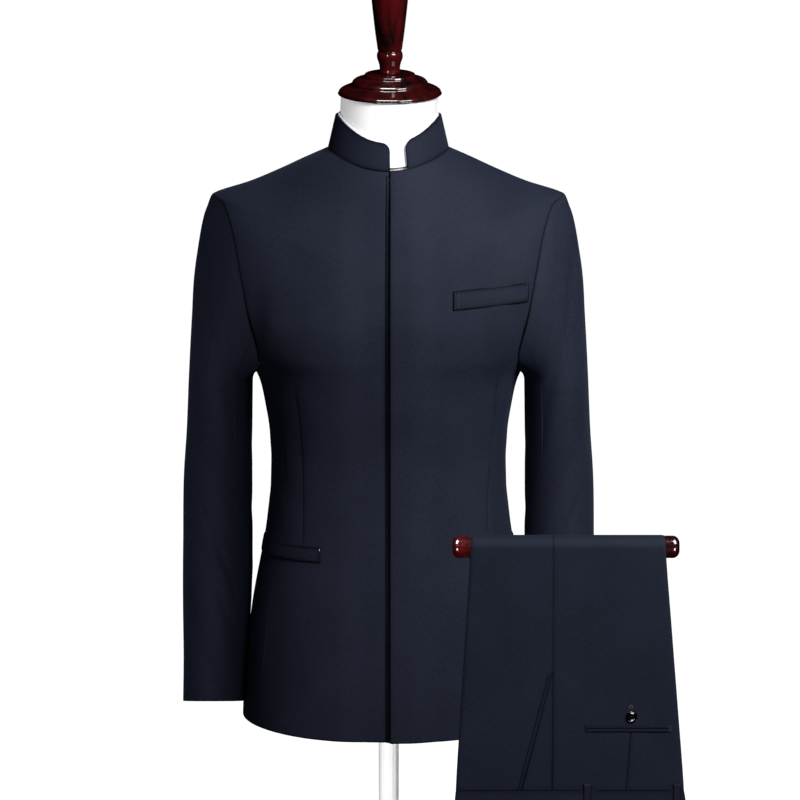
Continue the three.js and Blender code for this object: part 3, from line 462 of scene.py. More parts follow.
def lay_cloth(name, node, points, normals, wall, material, rims, creases=(), relief=0, lines=0,
              tones=(1, 1, 1, 1), line_width=0.9, mirrored=False,
              held="hung", rests_on=("form_torso",), hem=0):
    """One cut piece as a thin shell. rims are the radii of its four turned edges, and tones say how much
    painted shade
    lies along them: first and last column, first and last row. relief is added to the outer face alone, and
    lines paint a thin line of shade along a sewn groove."""
    u = path_length(points, 1)
    v = path_length(points, 0)
    edges = (u, u[:, -1:] - u, v, v[-1:] - v)
    drop = np.max([turned_edge(d, r) for d, r in zip(edges, rims)], axis=0)
    fold = crease_height(u, v, creases)
    outer = points + normals * (fold + relief - drop)[..., None]
    inner = points + normals * (fold - wall + INNER_TURN * drop)[..., None]
    if mirrored:
        outer, inner = outer * MIRROR, inner * MIRROR
    mesh = shell_mesh(name, outer, inner)
    store_cloth_map(mesh, np.tile(np.stack([u.ravel(), v.ravel()], -1), (2, 1)))
    # Painted shade: each edge darkens the colour within about line_width of it, as strongly as its tone, and
    # lines add more.
    near_edge = [tone * np.minimum(1.5 * np.exp(-d / line_width), 1) for d, tone in zip(edges, tones)]
    store_on_points(mesh, "edge", np.clip(np.max(near_edge, axis=0) + lines, 0, 1))
    piece = add_piece(name, mesh, material, node)
    allowance = SEAM_ALLOWANCE if min(u.max(), v.max()) > NARROW else 0
    width, length = (size * (FOLDED if size < FINE_STRIP else 1) for size in (u.max(), v.max()))
    width = round((width + 2 * allowance) * MM, 4)
    length = round((length + 2 * allowance + hem) * MM, 4)
    return piece


def lay_pair(name, node, *place, **looks):
    """The same piece on both sides of the wearer, with a hem at its lower edge."""
    for side, mirrored in (("left", False), ("right", True)):
        lay_cloth(name.format(side), node.format(side), *place, mirrored=mirrored, hem=HEM, **looks)


def navy_wool(name, light, dark, twill_lift=0.00012):
    """Fine pressed twill: diagonal ribs under a millimetre apart, a mottle of the yarn, a soft nap, and
    painted edge shade.
    """
    material, nodes, shader = start_material(name, {
        "Specular IOR Level": 0.16, "Specular Tint": (0.7, 0.8, 1, 1),
        "Sheen Weight": 0.05, "Sheen Roughness": 0.45, "Sheen Tint": (0.45, 0.6, 1, 1),
    })
    place = add_node(nodes, "ShaderNodeUVMap", uv_map="cloth")
    ribs = add_node(nodes, "ShaderNodeTexWave", {
        "Scale": 620, "Distortion": 9, "Detail": 3, "Detail Scale": 2.6,
    }, wave_type="BANDS", bands_direction="DIAGONAL")
    stretch = add_node(nodes, "ShaderNodeMapping", {
        "Rotation": (0, 0, np.radians(40)), "Scale": (560, 260, 1),
    })
    yarn = add_node(nodes, "ShaderNodeTexNoise", {"Scale": 1, "Detail": 3, "Roughness": 0.6})
    cloud = add_node(nodes, "ShaderNodeTexNoise", {"Scale": 11, "Detail": 3, "Roughness": 0.5})
    edge = add_node(nodes, "ShaderNodeAttribute", attribute_name="edge")
    weave = mix_noises(nodes, yarn, ribs, 0.3)
    tone = add_node(nodes, "ShaderNodeMix", {"Factor": 0.3}, data_type="FLOAT")
    # Painted shade: where the edge attribute is high, the colour is multiplied towards near black along
    # turned edges, seams, darts and welts.
    edge_shade = add_node(nodes, "ShaderNodeMix", {
        "B": (0.06, 0.06, 0.07, 1),
    }, data_type="RGBA", blend_type="MULTIPLY")
    rough = add_node(nodes, "ShaderNodeMapRange", {"To Min": 0.62, "To Max": 0.8})
    wire(place, "UV", ribs, "Vector")
    wire(place, "UV", stretch, "Vector")
    wire(place, "UV", cloud, "Vector")
    wire(stretch, "Vector", yarn, "Vector")
    wire(weave, "Result", tone, "A")
    wire(cloud, "Fac", tone, "B")
    wire(edge, "Fac", edge_shade, "Factor")
    wire(add_shades(nodes, tone, "Result", dark, light, 0.39, 0.61), "Color", edge_shade, "A")
    wire(edge_shade, "Result", shader, "Base Color")
    wire(weave, "Result", rough, "Value")
    wire(rough, "Result", shader, "Roughness")
    add_bump(nodes, shader, weave, "Result", 0.55, twill_lift)
    return material


jacket_wool = navy_wool("jacket_wool", (0.0160, 0.0190, 0.0345), (0.0072, 0.0090, 0.0170))


def side_edge(rows, seam_turn, at_side, under_arm, at_shoulder):
    """A value along a panel's outer edge: at the side seam, and round the armhole up to the shoulder seam."""
    start = armhole_level(seam_turn)
    armhole = lerp(under_arm, at_shoulder, smooth(start, ARMHOLE_TOP, rows))
    return np.where(rows < start, at_side, armhole)[:, None]


def lap_share(x, level):
    along_neck = lerp(1, LAP_AT_NECK, smooth(NECK_LEVEL - 4, NECK_LEVEL, level))
    return along_neck * (1 - smooth(LAP_FLAT_X, LAP_END_X, x))


def front_point(angle, level, lift):
    point = body_point(angle, level)
    share = lap_share(point[..., 0], level)
    return point + flat(body_normal(angle, level)) * (lift * share)[..., None]


# Each front's dart: its height and its distance from the centre line.
DART_LEFT = np.array([[1028, 121.0], [1077, 121.2], [1150, 127], [1233, 133.4]])
DART_RIGHT = np.array([[1013, 104.8], [1060, 104.3], [1105, 104.0], [1163, 107.7], [1216, 113.7]])
DART_DEPTH = 0.4
DART_LINE = 0.8  # how far the seam line and the hollow beside it reach from the dart
DART_HOLLOW = 9
# Soft creases, from the closing edge and up from the hem.
FRONT_CREASES = [
    [150, 560, 176, 470, -2.2, 16],
    [128, 600, 150, 470, 1.5, 18],
    [176, 500, 150, 330, -1.2, 15],
    [120, 300, 168, 420, 0.9, 14],
    [60, 250, 150, 300, -0.5, 16],
    [90, 40, 110, 210, 0.8, 22],
    [150, 20, 140, 190, -0.9, 18],
    [30, 30, 45, 330, -0.35, 18],
]


def make_front(name, node, edge_x, lift, dart, creases, mirrored):
    rows = panel_levels(FRONT_SEAM)
    starts = angle_at_x(edge_x, rows)
    ends = side_angle(rows, FRONT_SEAM)
    height = body_point(angle_at_x(dart[0, 1], rows), rows)[..., 2]
    line = angle_at_x(np.interp(height, dart[:, 0], dart[:, 1]), rows)

    def surface(angle, level):
        return front_point(angle, level, lift)
    angle, column = spread_across(surface, rows, starts, ends, line)
    level = np.broadcast_to(rows[:, None], angle.shape)
    points = surface(angle, level)
    beside = path_length(points, 1)
    beside = np.abs(beside - beside[:, column:column + 1])
    shown = smooth(dart[0, 0], dart[0, 0] + 12, height) * (1 - smooth(dart[-1, 0] - 25, dart[-1, 0], height))
    groove = shown[:, None] * np.exp(-(beside / DART_LINE) ** 2)
    pinch = shown[:, None] * np.exp(-(beside / DART_HOLLOW) ** 2)
    # The tones and lines are painted shade: along the closing edge, the armhole and the neckline, and in the
    # dart's groove.
    return lay_cloth(name, node, points, body_normal(angle, level), JACKET_WALL, jacket_wool,
                     (1, side_edge(rows, FRONT_SEAM, 0.2, 0.7, 0.5), 1, 0.5), creases,
                     relief=-DART_DEPTH * groove - DART_DEPTH * pinch, lines=0.7 * groove,
                     tones=(1, side_edge(rows, FRONT_SEAM, 0.1, 1, 0.35), 0.5, 1), mirrored=mirrored, hem=HEM)


make_front("front_left", "jacket_front_left", OVER_EDGE_X, OVER_LIFT, DART_LEFT, FRONT_CREASES, False)
make_front("front_right", "jacket_front_right", UNDER_EDGE_X, -UNDER_DIP, DART_RIGHT,
           [[u + 24, v, u1 + 24, v1, h, w] for u, v, u1, v1, h, w in FRONT_CREASES], True)

# The concealed closing
# A strip of the same wool is sewn under the left front and carries the buttonholes. The five horn buttons on
# the right front lie between the two, out of sight.
STRIP_FACE = -1.2
STRIP_WALL = 1
STRIP_X = (-2.5, 20)


def closing_strip():
    rows = panel_levels(FRONT_SEAM)
    rows = rows[rows < NECK_LEVEL - 0.5]
    across = gather_row(*STRIP_X)
    level = np.repeat(rows[:, None], len(across), 1)
    angle = angle_at_x(np.where(across == 0, 1e-6, across), level)
    face = body_normal(angle, level)
    points = body_point(angle, level) + face * (STRIP_FACE * lap_share(0, level))[..., None]
    lay_cloth("buttonhole_strip", "button_strip", points, face, STRIP_WALL * lap_share(0, level), jacket_wool,
              (0.35, 0.35, 0.35, 0.35))


closing_strip()


def turned_mesh(name, profile, segments, place):
    """A profile of radius and height in millimetres, spun about its axis and then put in its place."""
    turn = np.linspace(0, 2 * np.pi, segments, endpoint=False)
    form = bmesh.new()
    rings = []
    for radius, height in profile:
        if radius < 1e-6:
            rings.append([form.verts.new((0, 0, height * MM))])
        else:
            rings.append([form.verts.new((radius * MM * np.cos(t), radius * MM * np.sin(t), height * MM))
                          for t in turn])
    for low, high in zip(rings, rings[1:]):
        for i in range(segments):
            j = (i + 1) % segments
            corners = [low[i % len(low)], low[j % len(low)], high[j % len(high)], high[i % len(high)]]
            corners = list(dict.fromkeys(corners))
            if len(corners) > 2:
                form.faces.new(corners)
    bmesh.ops.recalc_face_normals(form, faces=form.faces)
    form.transform(place)
    mesh = bpy.data.meshes.new(name)
    form.to_mesh(mesh)
    form.free()
    mesh.shade_smooth()
    return mesh


horn = grained_material("black_horn", {
    "Roughness": 0.12, "Coat Weight": 0.8, "Coat Roughness": 0.04,
}, 260, 3, (0.003, 0.003, 0.004), (0.012, 0.011, 0.012))


def node_frame(node):
    """The middle of a flat round CAD node, its axis, radius and depth, from its own mesh."""
    mesh = bpy.data.objects[node].data
    points = np.array([v.co for v in mesh.vertices])
    middle = (points.max(0) + points.min(0)) / 2
    spread = points - points.mean(0)
    axis = np.linalg.svd(spread, full_matrices=False)[2][2]
    axis = axis * -np.sign(axis[1])
    middle = points.mean(0) + axis * ((spread @ axis).max() + (spread @ axis).min()) / 2
    beside = spread - np.outer(spread @ axis, axis)
    return middle, axis, np.linalg.norm(beside, axis=1).max() / MM, np.ptp(spread @ axis) / MM


def button_profile(radius, depth):
    rim = min(radius * 0.16, depth * 0.45)
    bend = np.linspace(-np.pi / 2, np.pi / 2, 9)
    edge = [(radius - rim + rim * np.cos(b), depth / 2 + (depth / 2) * np.sin(b)) for b in bend]
    dish = [(radius - 1.7 * rim, depth - 0.12 * depth), (radius - 2.5 * rim, depth * 0.66),
            (radius * 0.3, depth * 0.58), (0, depth * 0.58)]
    return [(0, 0)] + edge + dish


for i in range(1, 6):
    node = f"closing_button_{i}"
    middle, axis, radius, depth = node_frame(node)
    turn = Vector((0, 0, 1)).rotation_difference(Vector(axis)).to_matrix().to_4x4()
    foot = Vector(middle) - Vector(axis) * (depth / 2 * MM)
    place = Matrix.Translation(foot) @ turn
    mesh = turned_mesh(f"front_button_{i}", button_profile(radius - 0.05, depth), 28, place)
    add_piece(f"front_button_{i}", mesh, horn, node)

# The jacket's backs and sides
# Two back panels meet in a centre seam, and a narrow panel under each arm joins back and front.
BACK_CREASES = [
    [40, 520, 130, 470, -1.1, 18],
    [160, 540, 150, 400, -2.0, 17],
    [130, 560, 120, 420, 1.2, 18],
    [20, 300, 120, 340, -0.8, 15],
    [30, 270, 110, 290, 0.7, 14],
    [70, 30, 80, 230, 0.8, 24],
    [130, 20, 120, 200, -0.8, 18],
]
SIDE_CREASES = [[20, 260, 110, 300, -0.8, 14], [30, 330, 120, 360, 0.6, 12], [70, 30, 60, 200, -0.8, 20]]


def make_backs():
    rows = panel_levels(BACK_SEAM)
    angle, _ = spread_across(body_point, rows, -angle_at_x(SEAM, rows), side_angle(rows, BACK_SEAM))
    level = np.broadcast_to(rows[:, None], angle.shape)
    points, normals = body_point(angle, level), body_normal(angle, level)
    lay_pair("back_{}", "jacket_back_{}", points, normals, JACKET_WALL, jacket_wool,
             (0.5, side_edge(rows, BACK_SEAM, 0.3, 0.6, 0.5), 1, 0.5), BACK_CREASES,
             tones=(0.7, side_edge(rows, BACK_SEAM, 0.4, 0.9, 0.35), 0.5, 1))


def make_sides():
    turns = np.linspace(FRONT_SEAM, BACK_SEAM, 181)
    angles = armhole_angle(turns)
    gap = SEAM / BODY[4, FRONT]
    radius = BODY[4, HALF]
    edge = np.array(RIM_STEPS) / radius
    inner_columns = np.linspace(angles[0] + gap + edge[-1], angles[-1] - gap - edge[-1], 30)[1:-1]
    columns = np.concatenate([angles[0] + gap + edge, inner_columns, angles[-1] - gap - edge[::-1]])
    top = armhole_level(np.interp(columns, angles, turns)) - SEAM / 40
    share = np.unique(np.concatenate([np.linspace(0, 1, 86), [0.0008, 0.002, 0.0035, 0.9995, 0.998, 0.9965]]))
    level = share[:, None] * top
    angle = np.broadcast_to(columns, level.shape)
    points, normals = body_point(angle, level), body_normal(angle, level)
    lay_pair("side_{}", "jacket_side_{}", points, normals, JACKET_WALL, jacket_wool,
             (0.2, 0.3, 1, 0.6), SIDE_CREASES, tones=(0.1, 0.4, 0.5, 0.9))


make_backs()
make_sides()

# The sleeves
# Each is sewn from an upper and an under piece. Its head is eased into the armhole over a little wadding, so
# that it stands up in a small ridge at the shoulder, and the arm hangs with a bend forward at the elbow.
ARM = np.array([  # x, y and z of a ring's centre, half width across and front to back, tip in degrees
    [207, 2, 1210, 39.5, 70, 0],
    [209, 5, 1150, 40.5, 66, 0],
    [211.3, 3, 1085, 42.5, 61, 3],
    [211.5, -7, 1005, 43, 57, 8],
    [212, -20, 935, 42, 54, 11],
    [214.4, -33, 872, 39.1, 51.5, 12],
    [216.6, -45, 815, 37.4, 49, 12],
])
ARM_SQUARE = 2.15
SLEEVE_START = -0.1
SLEEVE_FRONT_SEAM = np.radians(120)
SLEEVE_BACK_SEAM = np.radians(240)
CAP_START = np.array([0.3, 0.14, -0.24])
CAP_END = np.array([0.06, 0, -1.1])
ROPE_HEIGHT = 1.4
# From the back seam round the arm, and down from the armhole.
UPPER_CREASES = [
    [200, 40, 236, 190, -1.6, 13],
    [150, 30, 165, 160, 1.0, 16],
    [60, 60, 40, 230, -1.4, 15],
    [230, 330, 150, 290, -1.5, 10],
    [236, 300, 165, 345, 1.0, 9],
    [225, 385, 160, 350, -0.9, 9],
    [30, 300, 90, 360, -1.0, 13],
    [100, 420, 120, 600, 0.7, 18],
    [170, 430, 180, 600, -0.7, 15],
]
UNDER_CREASES = [[20, 60, 80, 110, -1.0, 12], [15, 150, 90, 190, -1.1, 12], [20, 220, 70, 260, 0.7, 10]]


def arm_point(turn, level):
    x, y, z, across, deep, tip = np.moveaxis(read_table(ARM, level), -1, 0)
    c, s = np.cos(turn), np.sin(turn)
    power = 2 / ARM_SQUARE
    out = -deep * np.sign(s) * np.abs(s) ** power
    tip = np.radians(tip)
    x = x + across * np.sign(c) * np.abs(c) ** power
    return np.stack([x, y + out * np.cos(tip), z - out * np.sin(tip)], -1)


def sleeve_point(turn, share):
    """Share 0 to 1 is the head, from the armhole to the first ring, and 1 to 2 the arm, down to the cuff."""
    turn, share = np.broadcast_arrays(turn, share)
    low = arm_point(turn, np.maximum(share - 1, 0) * (len(ARM) - 1))
    a = body_point(armhole_angle(turn), armhole_level(turn)) + np.array([SLEEVE_START, 0, 0])
    b = arm_point(turn, np.zeros_like(share, float))
    length = np.linalg.norm(a - b, axis=-1, keepdims=True)
    first = np.stack([np.full(turn.shape, CAP_START[0]), -CAP_START[1] * np.sin(turn),
                      np.full(turn.shape, CAP_START[2])], -1)
    t = np.minimum(share, 1)[..., None]
    head = (a * (2 * t ** 3 - 3 * t ** 2 + 1) + first * length * (t ** 3 - 2 * t ** 2 + t)
            + b * (3 * t ** 2 - 2 * t ** 3) + CAP_END * length * (t ** 3 - t ** 2))
    return np.where((share >= 1)[..., None], low, head)


def sleeve_normal(turn, share):
    normal = outward(sleeve_point, turn, np.clip(share, 0.02, 1.98))
    normal[..., 0] *= smooth(0, 0.5, share)
    return unit(normal)


def make_sleeves():
    gap = SEAM / ARM[2, 4]
    head = np.concatenate([[0, 0.0015, 0.004, 0.008, 0.015, 0.028, 0.045], np.linspace(0.065, 1, 40)])
    arm = np.concatenate([np.linspace(1, 2, 80)[1:-1], [1.9962, 1.998, 1.9993, 2]])
    rows = np.concatenate([head, arm])
    pieces = (
        ("upper", SLEEVE_BACK_SEAM - 2 * np.pi, SLEEVE_FRONT_SEAM, UPPER_CREASES),
        ("under", SLEEVE_FRONT_SEAM, SLEEVE_BACK_SEAM, UNDER_CREASES),
    )
    for piece, start, end, creases in pieces:
        starts, ends = np.full(len(rows), start + gap), np.full(len(rows), end - gap)
        turn, _ = spread_across(sleeve_point, rows, starts, ends)
        share = np.broadcast_to(rows[:, None], turn.shape)
        points = sleeve_point(turn, share)
        below = path_length(points, 0)
        at_top = smooth(1.25, 0.2, np.abs(turn)) if piece == "upper" else 0
        ridge = np.exp(-((below - 6) / 5) ** 2) - 0.5 * np.exp(-((below - 16) / 7) ** 2)
        rope = ROPE_HEIGHT * at_top * ridge
        # The tone at the armhole is painted shade along the sleeve head's seam, lighter where the head stands
        # up at the top.
        at_armhole = lerp(1, 0.35, at_top)
        lay_pair(f"sleeve_{{}}_{piece}_cloth", f"sleeve_{{}}_{piece}", points, sleeve_normal(turn, share),
                 JACKET_WALL, jacket_wool, (0.2, 0.2, 0.5, 1), creases, relief=rope,
                 tones=(0.15, 0.1, at_armhole, 0.4))


make_sleeves()

# The stand collar and the white band
# The collar is one stiffened strip, cut to stand round the neck, with rounded corners and a gap in front. The
# band of white cotton that is sewn inside it shows above its edge and in the gap.
COLLAR_TOP = np.array([1538, 1506.5, 1547, 64.5, 66, 57, 2.05])
COLLAR_WALL = 2.5
COLLAR_ENDS_X = (23, 2)
COLLAR_CORNER = 10.5
COLLAR_HEIGHT = 33
COLLAR_TUCK = 0.8
LINER_WALL = 1
LINER_GAP = 0.8
LINER_RISE = 2.5
LINER_START = 3


def collar_point(angle, height):
    base = section_point(BODY[NECK_LEVEL], angle)
    top = section_point(COLLAR_TOP, angle)
    return lerp(base, top, np.asarray(height)[..., None])


def make_collar():
    row = BODY[NECK_LEVEL]
    start = -np.arccos((COLLAR_ENDS_X[0] / row[HALF]) ** (row[SQUARE] / 2))
    end = 1.5 * np.pi + COLLAR_ENDS_X[1] / row[FRONT]
    ends = np.array([0, 0.3, 0.75, 1.5, 2.6, 4, 5.5, 7.5, 10]) / row[FRONT]
    middle = np.linspace(start + ends[-1], end - ends[-1], 104)[1:-1]
    angles = np.concatenate([start + ends, middle, end - ends[::-1]])
    distance = np.minimum(angles - start, end - angles) * row[FRONT]
    short = np.maximum(COLLAR_CORNER - distance, 0)
    corner_drop = COLLAR_CORNER - np.sqrt(COLLAR_CORNER ** 2 - short ** 2)
    top = 1 - corner_drop / COLLAR_HEIGHT
    share = np.array([0, 0.01, 0.025, 0.05, 0.12, 0.22, 0.33, 0.44, 0.55, 0.66, 0.77, 0.87, 0.94, 0.965,
                      0.985, 0.994, 1])
    height = lerp(-COLLAR_TUCK / COLLAR_HEIGHT, top, share[:, None])
    angle = np.broadcast_to(angles, height.shape)
    points = collar_point(angle, height)
    normals = outward(collar_point, angle, height)
    on_left = np.where(angle < 0, 1 - smooth(LAP_FLAT_X, LAP_END_X, points[..., 0]), 0)
    points = points + flat(normals) * (OVER_LIFT * LAP_AT_NECK * on_left)[..., None]
    # line_width spreads the painted shade along the collar's edges.
    lay_cloth("stand_collar", "collar", points, normals, COLLAR_WALL, jacket_wool, (1.2, 1.2, 0.3, 1.2),
              line_width=1.7, held="stretched")


def white_cotton(name, light, dark, scale=900):
    material, nodes, shader = start_material(name, {
        "Roughness": 0.85, "Specular IOR Level": 0.25, "Sheen Weight": 0.1,
    })
    place = add_node(nodes, "ShaderNodeTexCoord")
    weave = add_node(nodes, "ShaderNodeTexNoise", {"Scale": scale, "Detail": 2})
    cloud = add_node(nodes, "ShaderNodeTexNoise", {"Scale": 9, "Detail": 3})
    both = mix_noises(nodes, weave, cloud, 0.55)
    wire(place, "Object", weave, "Vector")
    wire(place, "Object", cloud, "Vector")
    wire(add_shades(nodes, both, "Result", dark, light, 0.35, 0.65), "Color", shader, "Base Color")
    add_bump(nodes, shader, weave, "Fac", 0.3, 0.0001)
    return material


def make_band():
    angles = np.linspace(0, 2 * np.pi, 144, endpoint=False)
    low, high = LINER_START / COLLAR_HEIGHT, 1 + LINER_RISE / COLLAR_HEIGHT
    share = np.array([0, 0.01, 0.03, 0.1, 0.25, 0.4, 0.55, 0.7, 0.85, 0.95, 0.975, 0.99, 1])
    height = np.repeat(lerp(low, high, share)[:, None], len(angles), 1)
    angle = np.broadcast_to(angles, height.shape)
    points, normals = collar_point(angle, height), outward(collar_point, angle, height)
    rise = path_length(points, 0)
    drop = turned_edge(np.minimum(rise, rise[-1:] - rise), LINER_WALL / 2)
    face = -(COLLAR_WALL + LINER_GAP)
    outer = points + normals * (face - drop)[..., None]
    inner = points + normals * (face - LINER_WALL + drop)[..., None]
    mesh = shell_mesh("white_band", outer, inner, closed=True)
    band = add_piece("white_band", mesh, white_cotton("band_cotton", (0.86, 0.87, 0.93), (0.8, 0.81, 0.9)),
                     "collar_liner")
    around = path_length(points, 1)[0, -1] * MM


make_collar()
make_band()

# The welts
# A straight chest welt on the wearer's left, and a hip welt on each side: folded bands of the same wool, sewn
# down at their lower edge and tacked at both ends.
HIP_WELT_FACE = 1.1
CHEST_WELT_FACE = 1.9
CHEST_WELT = {"from_x": 78, "to_x": 169, "from_z": 1331, "to_z": 1338.5, "deep": 22}
HIP_WELT = {"to_x": 147, "top_z": 1017, "fall": 1.5, "deep": 18}
HIP_WELT_STARTS = {"left": (99, 57), "right": (82, 40)}
CHEST_WELT_LENGTH = 92
HIP_WELT_LENGTH = 110


def level_at_z(x, z):
    low = np.zeros(np.broadcast(x, z).shape)
    high = np.full(low.shape, float(ARMHOLE_TOP))
    for _ in range(26):
        middle = (low + high) / 2
        below = body_point(angle_at_x(x, middle), middle)[..., 2] < z
        low, high = np.where(below, middle, low), np.where(below, high, middle)
    return (low + high) / 2


def welt_shares(length, step=4):
    return gather_row(0, length, step) / length


def chest_place(share, drop):
    x = lerp(CHEST_WELT["from_x"], CHEST_WELT["to_x"], share)
    z = lerp(CHEST_WELT["from_z"], CHEST_WELT["to_z"], share) - drop
    level = level_at_z(x, z)
    return angle_at_x(x, level), level


def hip_place(share, drop, side):
    from_x, wrap = HIP_WELT_STARTS[side]
    level = level_at_z(from_x, HIP_WELT["top_z"] - HIP_WELT["fall"] * share - drop)
    first = angle_at_x(from_x, level)
    last = angle_at_x(HIP_WELT["to_x"], level) + wrap / read_table(BODY, level)[..., FRONT]
    return lerp(first, last, share), level


def make_welt(name, node, place, face, deep, length, mirrored=False):
    share, drop = np.meshgrid(welt_shares(length), welt_shares(deep, 3) * deep)
    angle, level = place(share, drop)
    normals = body_normal(angle, level)
    puff = 0.25 * np.sin(np.pi * drop / deep)
    points = body_point(angle, level) + normals * (face + puff)[..., None]
    # line_width spreads the painted shade along the welt's edges.
    lay_cloth(name, node, points, normals, face - 0.1, jacket_wool, (0.5, 0.5, 0.5, 0.5), line_width=1.5,
              mirrored=mirrored, held="folded")


def stitch_tree():
    """Short stitches, a pitch apart, on every line of a guide."""
    tree = bpy.data.node_groups.new("stitches", "GeometryNodeTree")
    tree.interface.new_socket("Stitches", in_out="OUTPUT", socket_type="NodeSocketGeometry")
    tree.interface.new_socket("Guide", in_out="INPUT", socket_type="NodeSocketGeometry")
    for name, kind in (("Pitch", "Float"), ("Length", "Float"), ("Thickness", "Float"), ("Seed", "Int"),
                       ("Thread", "Material")):
        tree.interface.new_socket(name, in_out="INPUT", socket_type=f"NodeSocket{kind}")
    nodes = tree.nodes
    given = add_node(nodes, "NodeGroupInput")
    made = add_node(nodes, "NodeGroupOutput")
    curve = add_node(nodes, "GeometryNodeMeshToCurve")
    spaced = add_node(nodes, "GeometryNodeResampleCurve", mode="LENGTH")
    tangent = add_node(nodes, "GeometryNodeInputTangent")
    turned = add_node(nodes, "FunctionNodeAlignRotationToVector", axis="X")
    uneven = add_node(nodes, "FunctionNodeRandomValue", {"Min": 0.8, "Max": 1.2}, data_type="FLOAT")
    length = add_node(nodes, "ShaderNodeMath", operation="MULTIPLY")
    size = add_node(nodes, "ShaderNodeCombineXYZ")
    bead = add_node(nodes, "GeometryNodeMeshUVSphere", {"Segments": 10, "Rings": 6, "Radius": 0.5})
    placed = add_node(nodes, "GeometryNodeInstanceOnPoints")
    real = add_node(nodes, "GeometryNodeRealizeInstances")
    dyed = add_node(nodes, "GeometryNodeSetMaterial")
    for start, out, end, into in (
        (given, "Guide", curve, "Mesh"), (curve, "Curve", spaced, "Curve"),
        (given, "Pitch", spaced, "Length"), (tangent, "Tangent", turned, "Vector"),
        (given, "Seed", uneven, "Seed"), (given, "Length", length, 0), (uneven, 1, length, 1),
        (length, "Value", size, "X"), (given, "Thickness", size, "Y"), (given, "Thickness", size, "Z"),
        (spaced, "Curve", placed, "Points"), (bead, "Mesh", placed, "Instance"),
        (turned, "Rotation", placed, "Rotation"), (size, "Vector", placed, "Scale"),
        (placed, "Instances", real, "Geometry"), (real, "Geometry", dyed, "Geometry"),
        (given, "Thread", dyed, "Material"), (dyed, "Geometry", made, "Stitches"),
    ):
        wire(start, out, end, into)
    return tree


def sewing_thread(name, light, dark):
    return grained_material(name, {"Roughness": 0.8, "Specular IOR Level": 0.05}, 1500, 2, dark, light)


def sew(name, lines, pitch, length, thickness, thread, seed=1):
    """Stitches on lines of points, all in millimetres."""
    edges, first = [], 0
    for line in lines:
        edges += [(first + i, first + i + 1) for i in range(len(line) - 1)]
        first += len(line)
    guide_mesh = bpy.data.meshes.new("guide")
    guide_mesh.from_pydata((np.concatenate(lines) * MM).tolist(), edges, [])
    guide = bpy.data.objects.new("guide", guide_mesh)
    bpy.context.scene.collection.objects.link(guide)
    modifier = guide.modifiers.new("stitches", "NODES")
    modifier.node_group = STITCHES
    values = {
        "Pitch": pitch * MM, "Length": length * MM, "Thickness": thickness * MM,
        "Seed": seed, "Thread": thread,
    }
    for item in STITCHES.interface.items_tree:
        if item.name in values:
            modifier[item.identifier] = values[item.name]
    made = guide.evaluated_get(bpy.context.evaluated_depsgraph_get())
    mesh = bpy.data.meshes.new_from_object(made)
    mesh.name = name
    guide.modifiers.remove(modifier)
    bpy.data.objects.remove(guide)
    mesh.shade_smooth()
    return add_piece(name, mesh, thread)


def on_welt(place, shares, drops, face):
    """Points on a welt's face."""
    angle, level = place(np.asarray(shares, float), np.asarray(drops, float))
    return body_point(angle, level) + body_normal(angle, level) * (face + 0.2)


STITCHES = stitch_tree()
light_thread = sewing_thread("light_thread", (0.16, 0.17, 0.26), (0.07, 0.08, 0.13))
dark_thread = sewing_thread("dark_thread", (0.010, 0.011, 0.018), (0.004, 0.005, 0.008))
pale_thread = sewing_thread("pale_thread", (0.75, 0.75, 0.8), (0.55, 0.55, 0.6))

MOUTH = np.linspace(0, 1, 24)  # the line just above a welt, where its pocket opens
MOUTH_DROPS = np.full(len(MOUTH), -0.5)
# Dark thread laid close along each welt's mouth: partly pick stitching, partly a painted shadow line of the
# pocket's opening.
MOUTH_SHADE_STITCH = {"pitch": 0.9, "length": 1.3, "thickness": 0.9, "thread": dark_thread}

make_welt("chest_welt_cloth", "chest_welt", chest_place, CHEST_WELT_FACE, CHEST_WELT["deep"],
          CHEST_WELT_LENGTH)
sew("chest_welt_tacks", [
    on_welt(chest_place, [share] * 2, drops, CHEST_WELT_FACE)
    for share, drops in ((0.028, (1.5, 19)), (0.065, (2.5, 18)), (0.975, (1, 5)), (0.975, (11, 14)))
], pitch=2.6, length=0.9, thickness=0.4, thread=light_thread)
sew("chest_welt_mouth", [on_welt(chest_place, MOUTH, MOUTH_DROPS, 0)], **MOUTH_SHADE_STITCH, seed=7)
for side, turned in (("left", (1, 1, 1)), ("right", MIRROR)):
    def place(share, drop):
        return hip_place(share, drop, side)
    name = f"hip_welt_{side}"
    make_welt(f"{name}_cloth", name, place, HIP_WELT_FACE, HIP_WELT["deep"], HIP_WELT_LENGTH,
              side == "right")
    tack = on_welt(place, [0.008, 0.008], [1.6, 3.2], HIP_WELT_FACE)
    sew(f"{name}_tack", [tack * turned], pitch=0.7, length=1.0, thickness=0.7, thread=pale_thread)
    sew(f"{name}_mouth", [on_welt(place, MOUTH, MOUTH_DROPS, 0) * turned], **MOUTH_SHADE_STITCH, seed=8)

# The dress form
# A limbless form with a round neck, covered in white jersey that is stretched smooth. It carries the jacket
# at the shoulders and stands back from it further down.
FORM_BOTTOM_Z = 825
FORM_SHOULDER_GAP = 2.1
FORM_HEM_GAP = 10
FORM_PLATE_GAP = 5
LAP_CLEARANCE = 0.2
NECK = np.array([
    [1495, 1468, 1504, 67, 64.5, 55, 2.05],
    [1509, 1482, 1517, 65.5, 64, 54.5, 2.05],
    [1524, 1497, 1532, 61, 61.5, 52.5, 2.05],
    [1540, 1515, 1549, 58.8, 60, 51.5, 2],
    [1562, 1553, 1571, 60, 60, 60, 2],
])
NECK_TILT = np.radians(8.5)
NECK_TOP_Z = 1562
NECK_SHIFT_X = 1.8


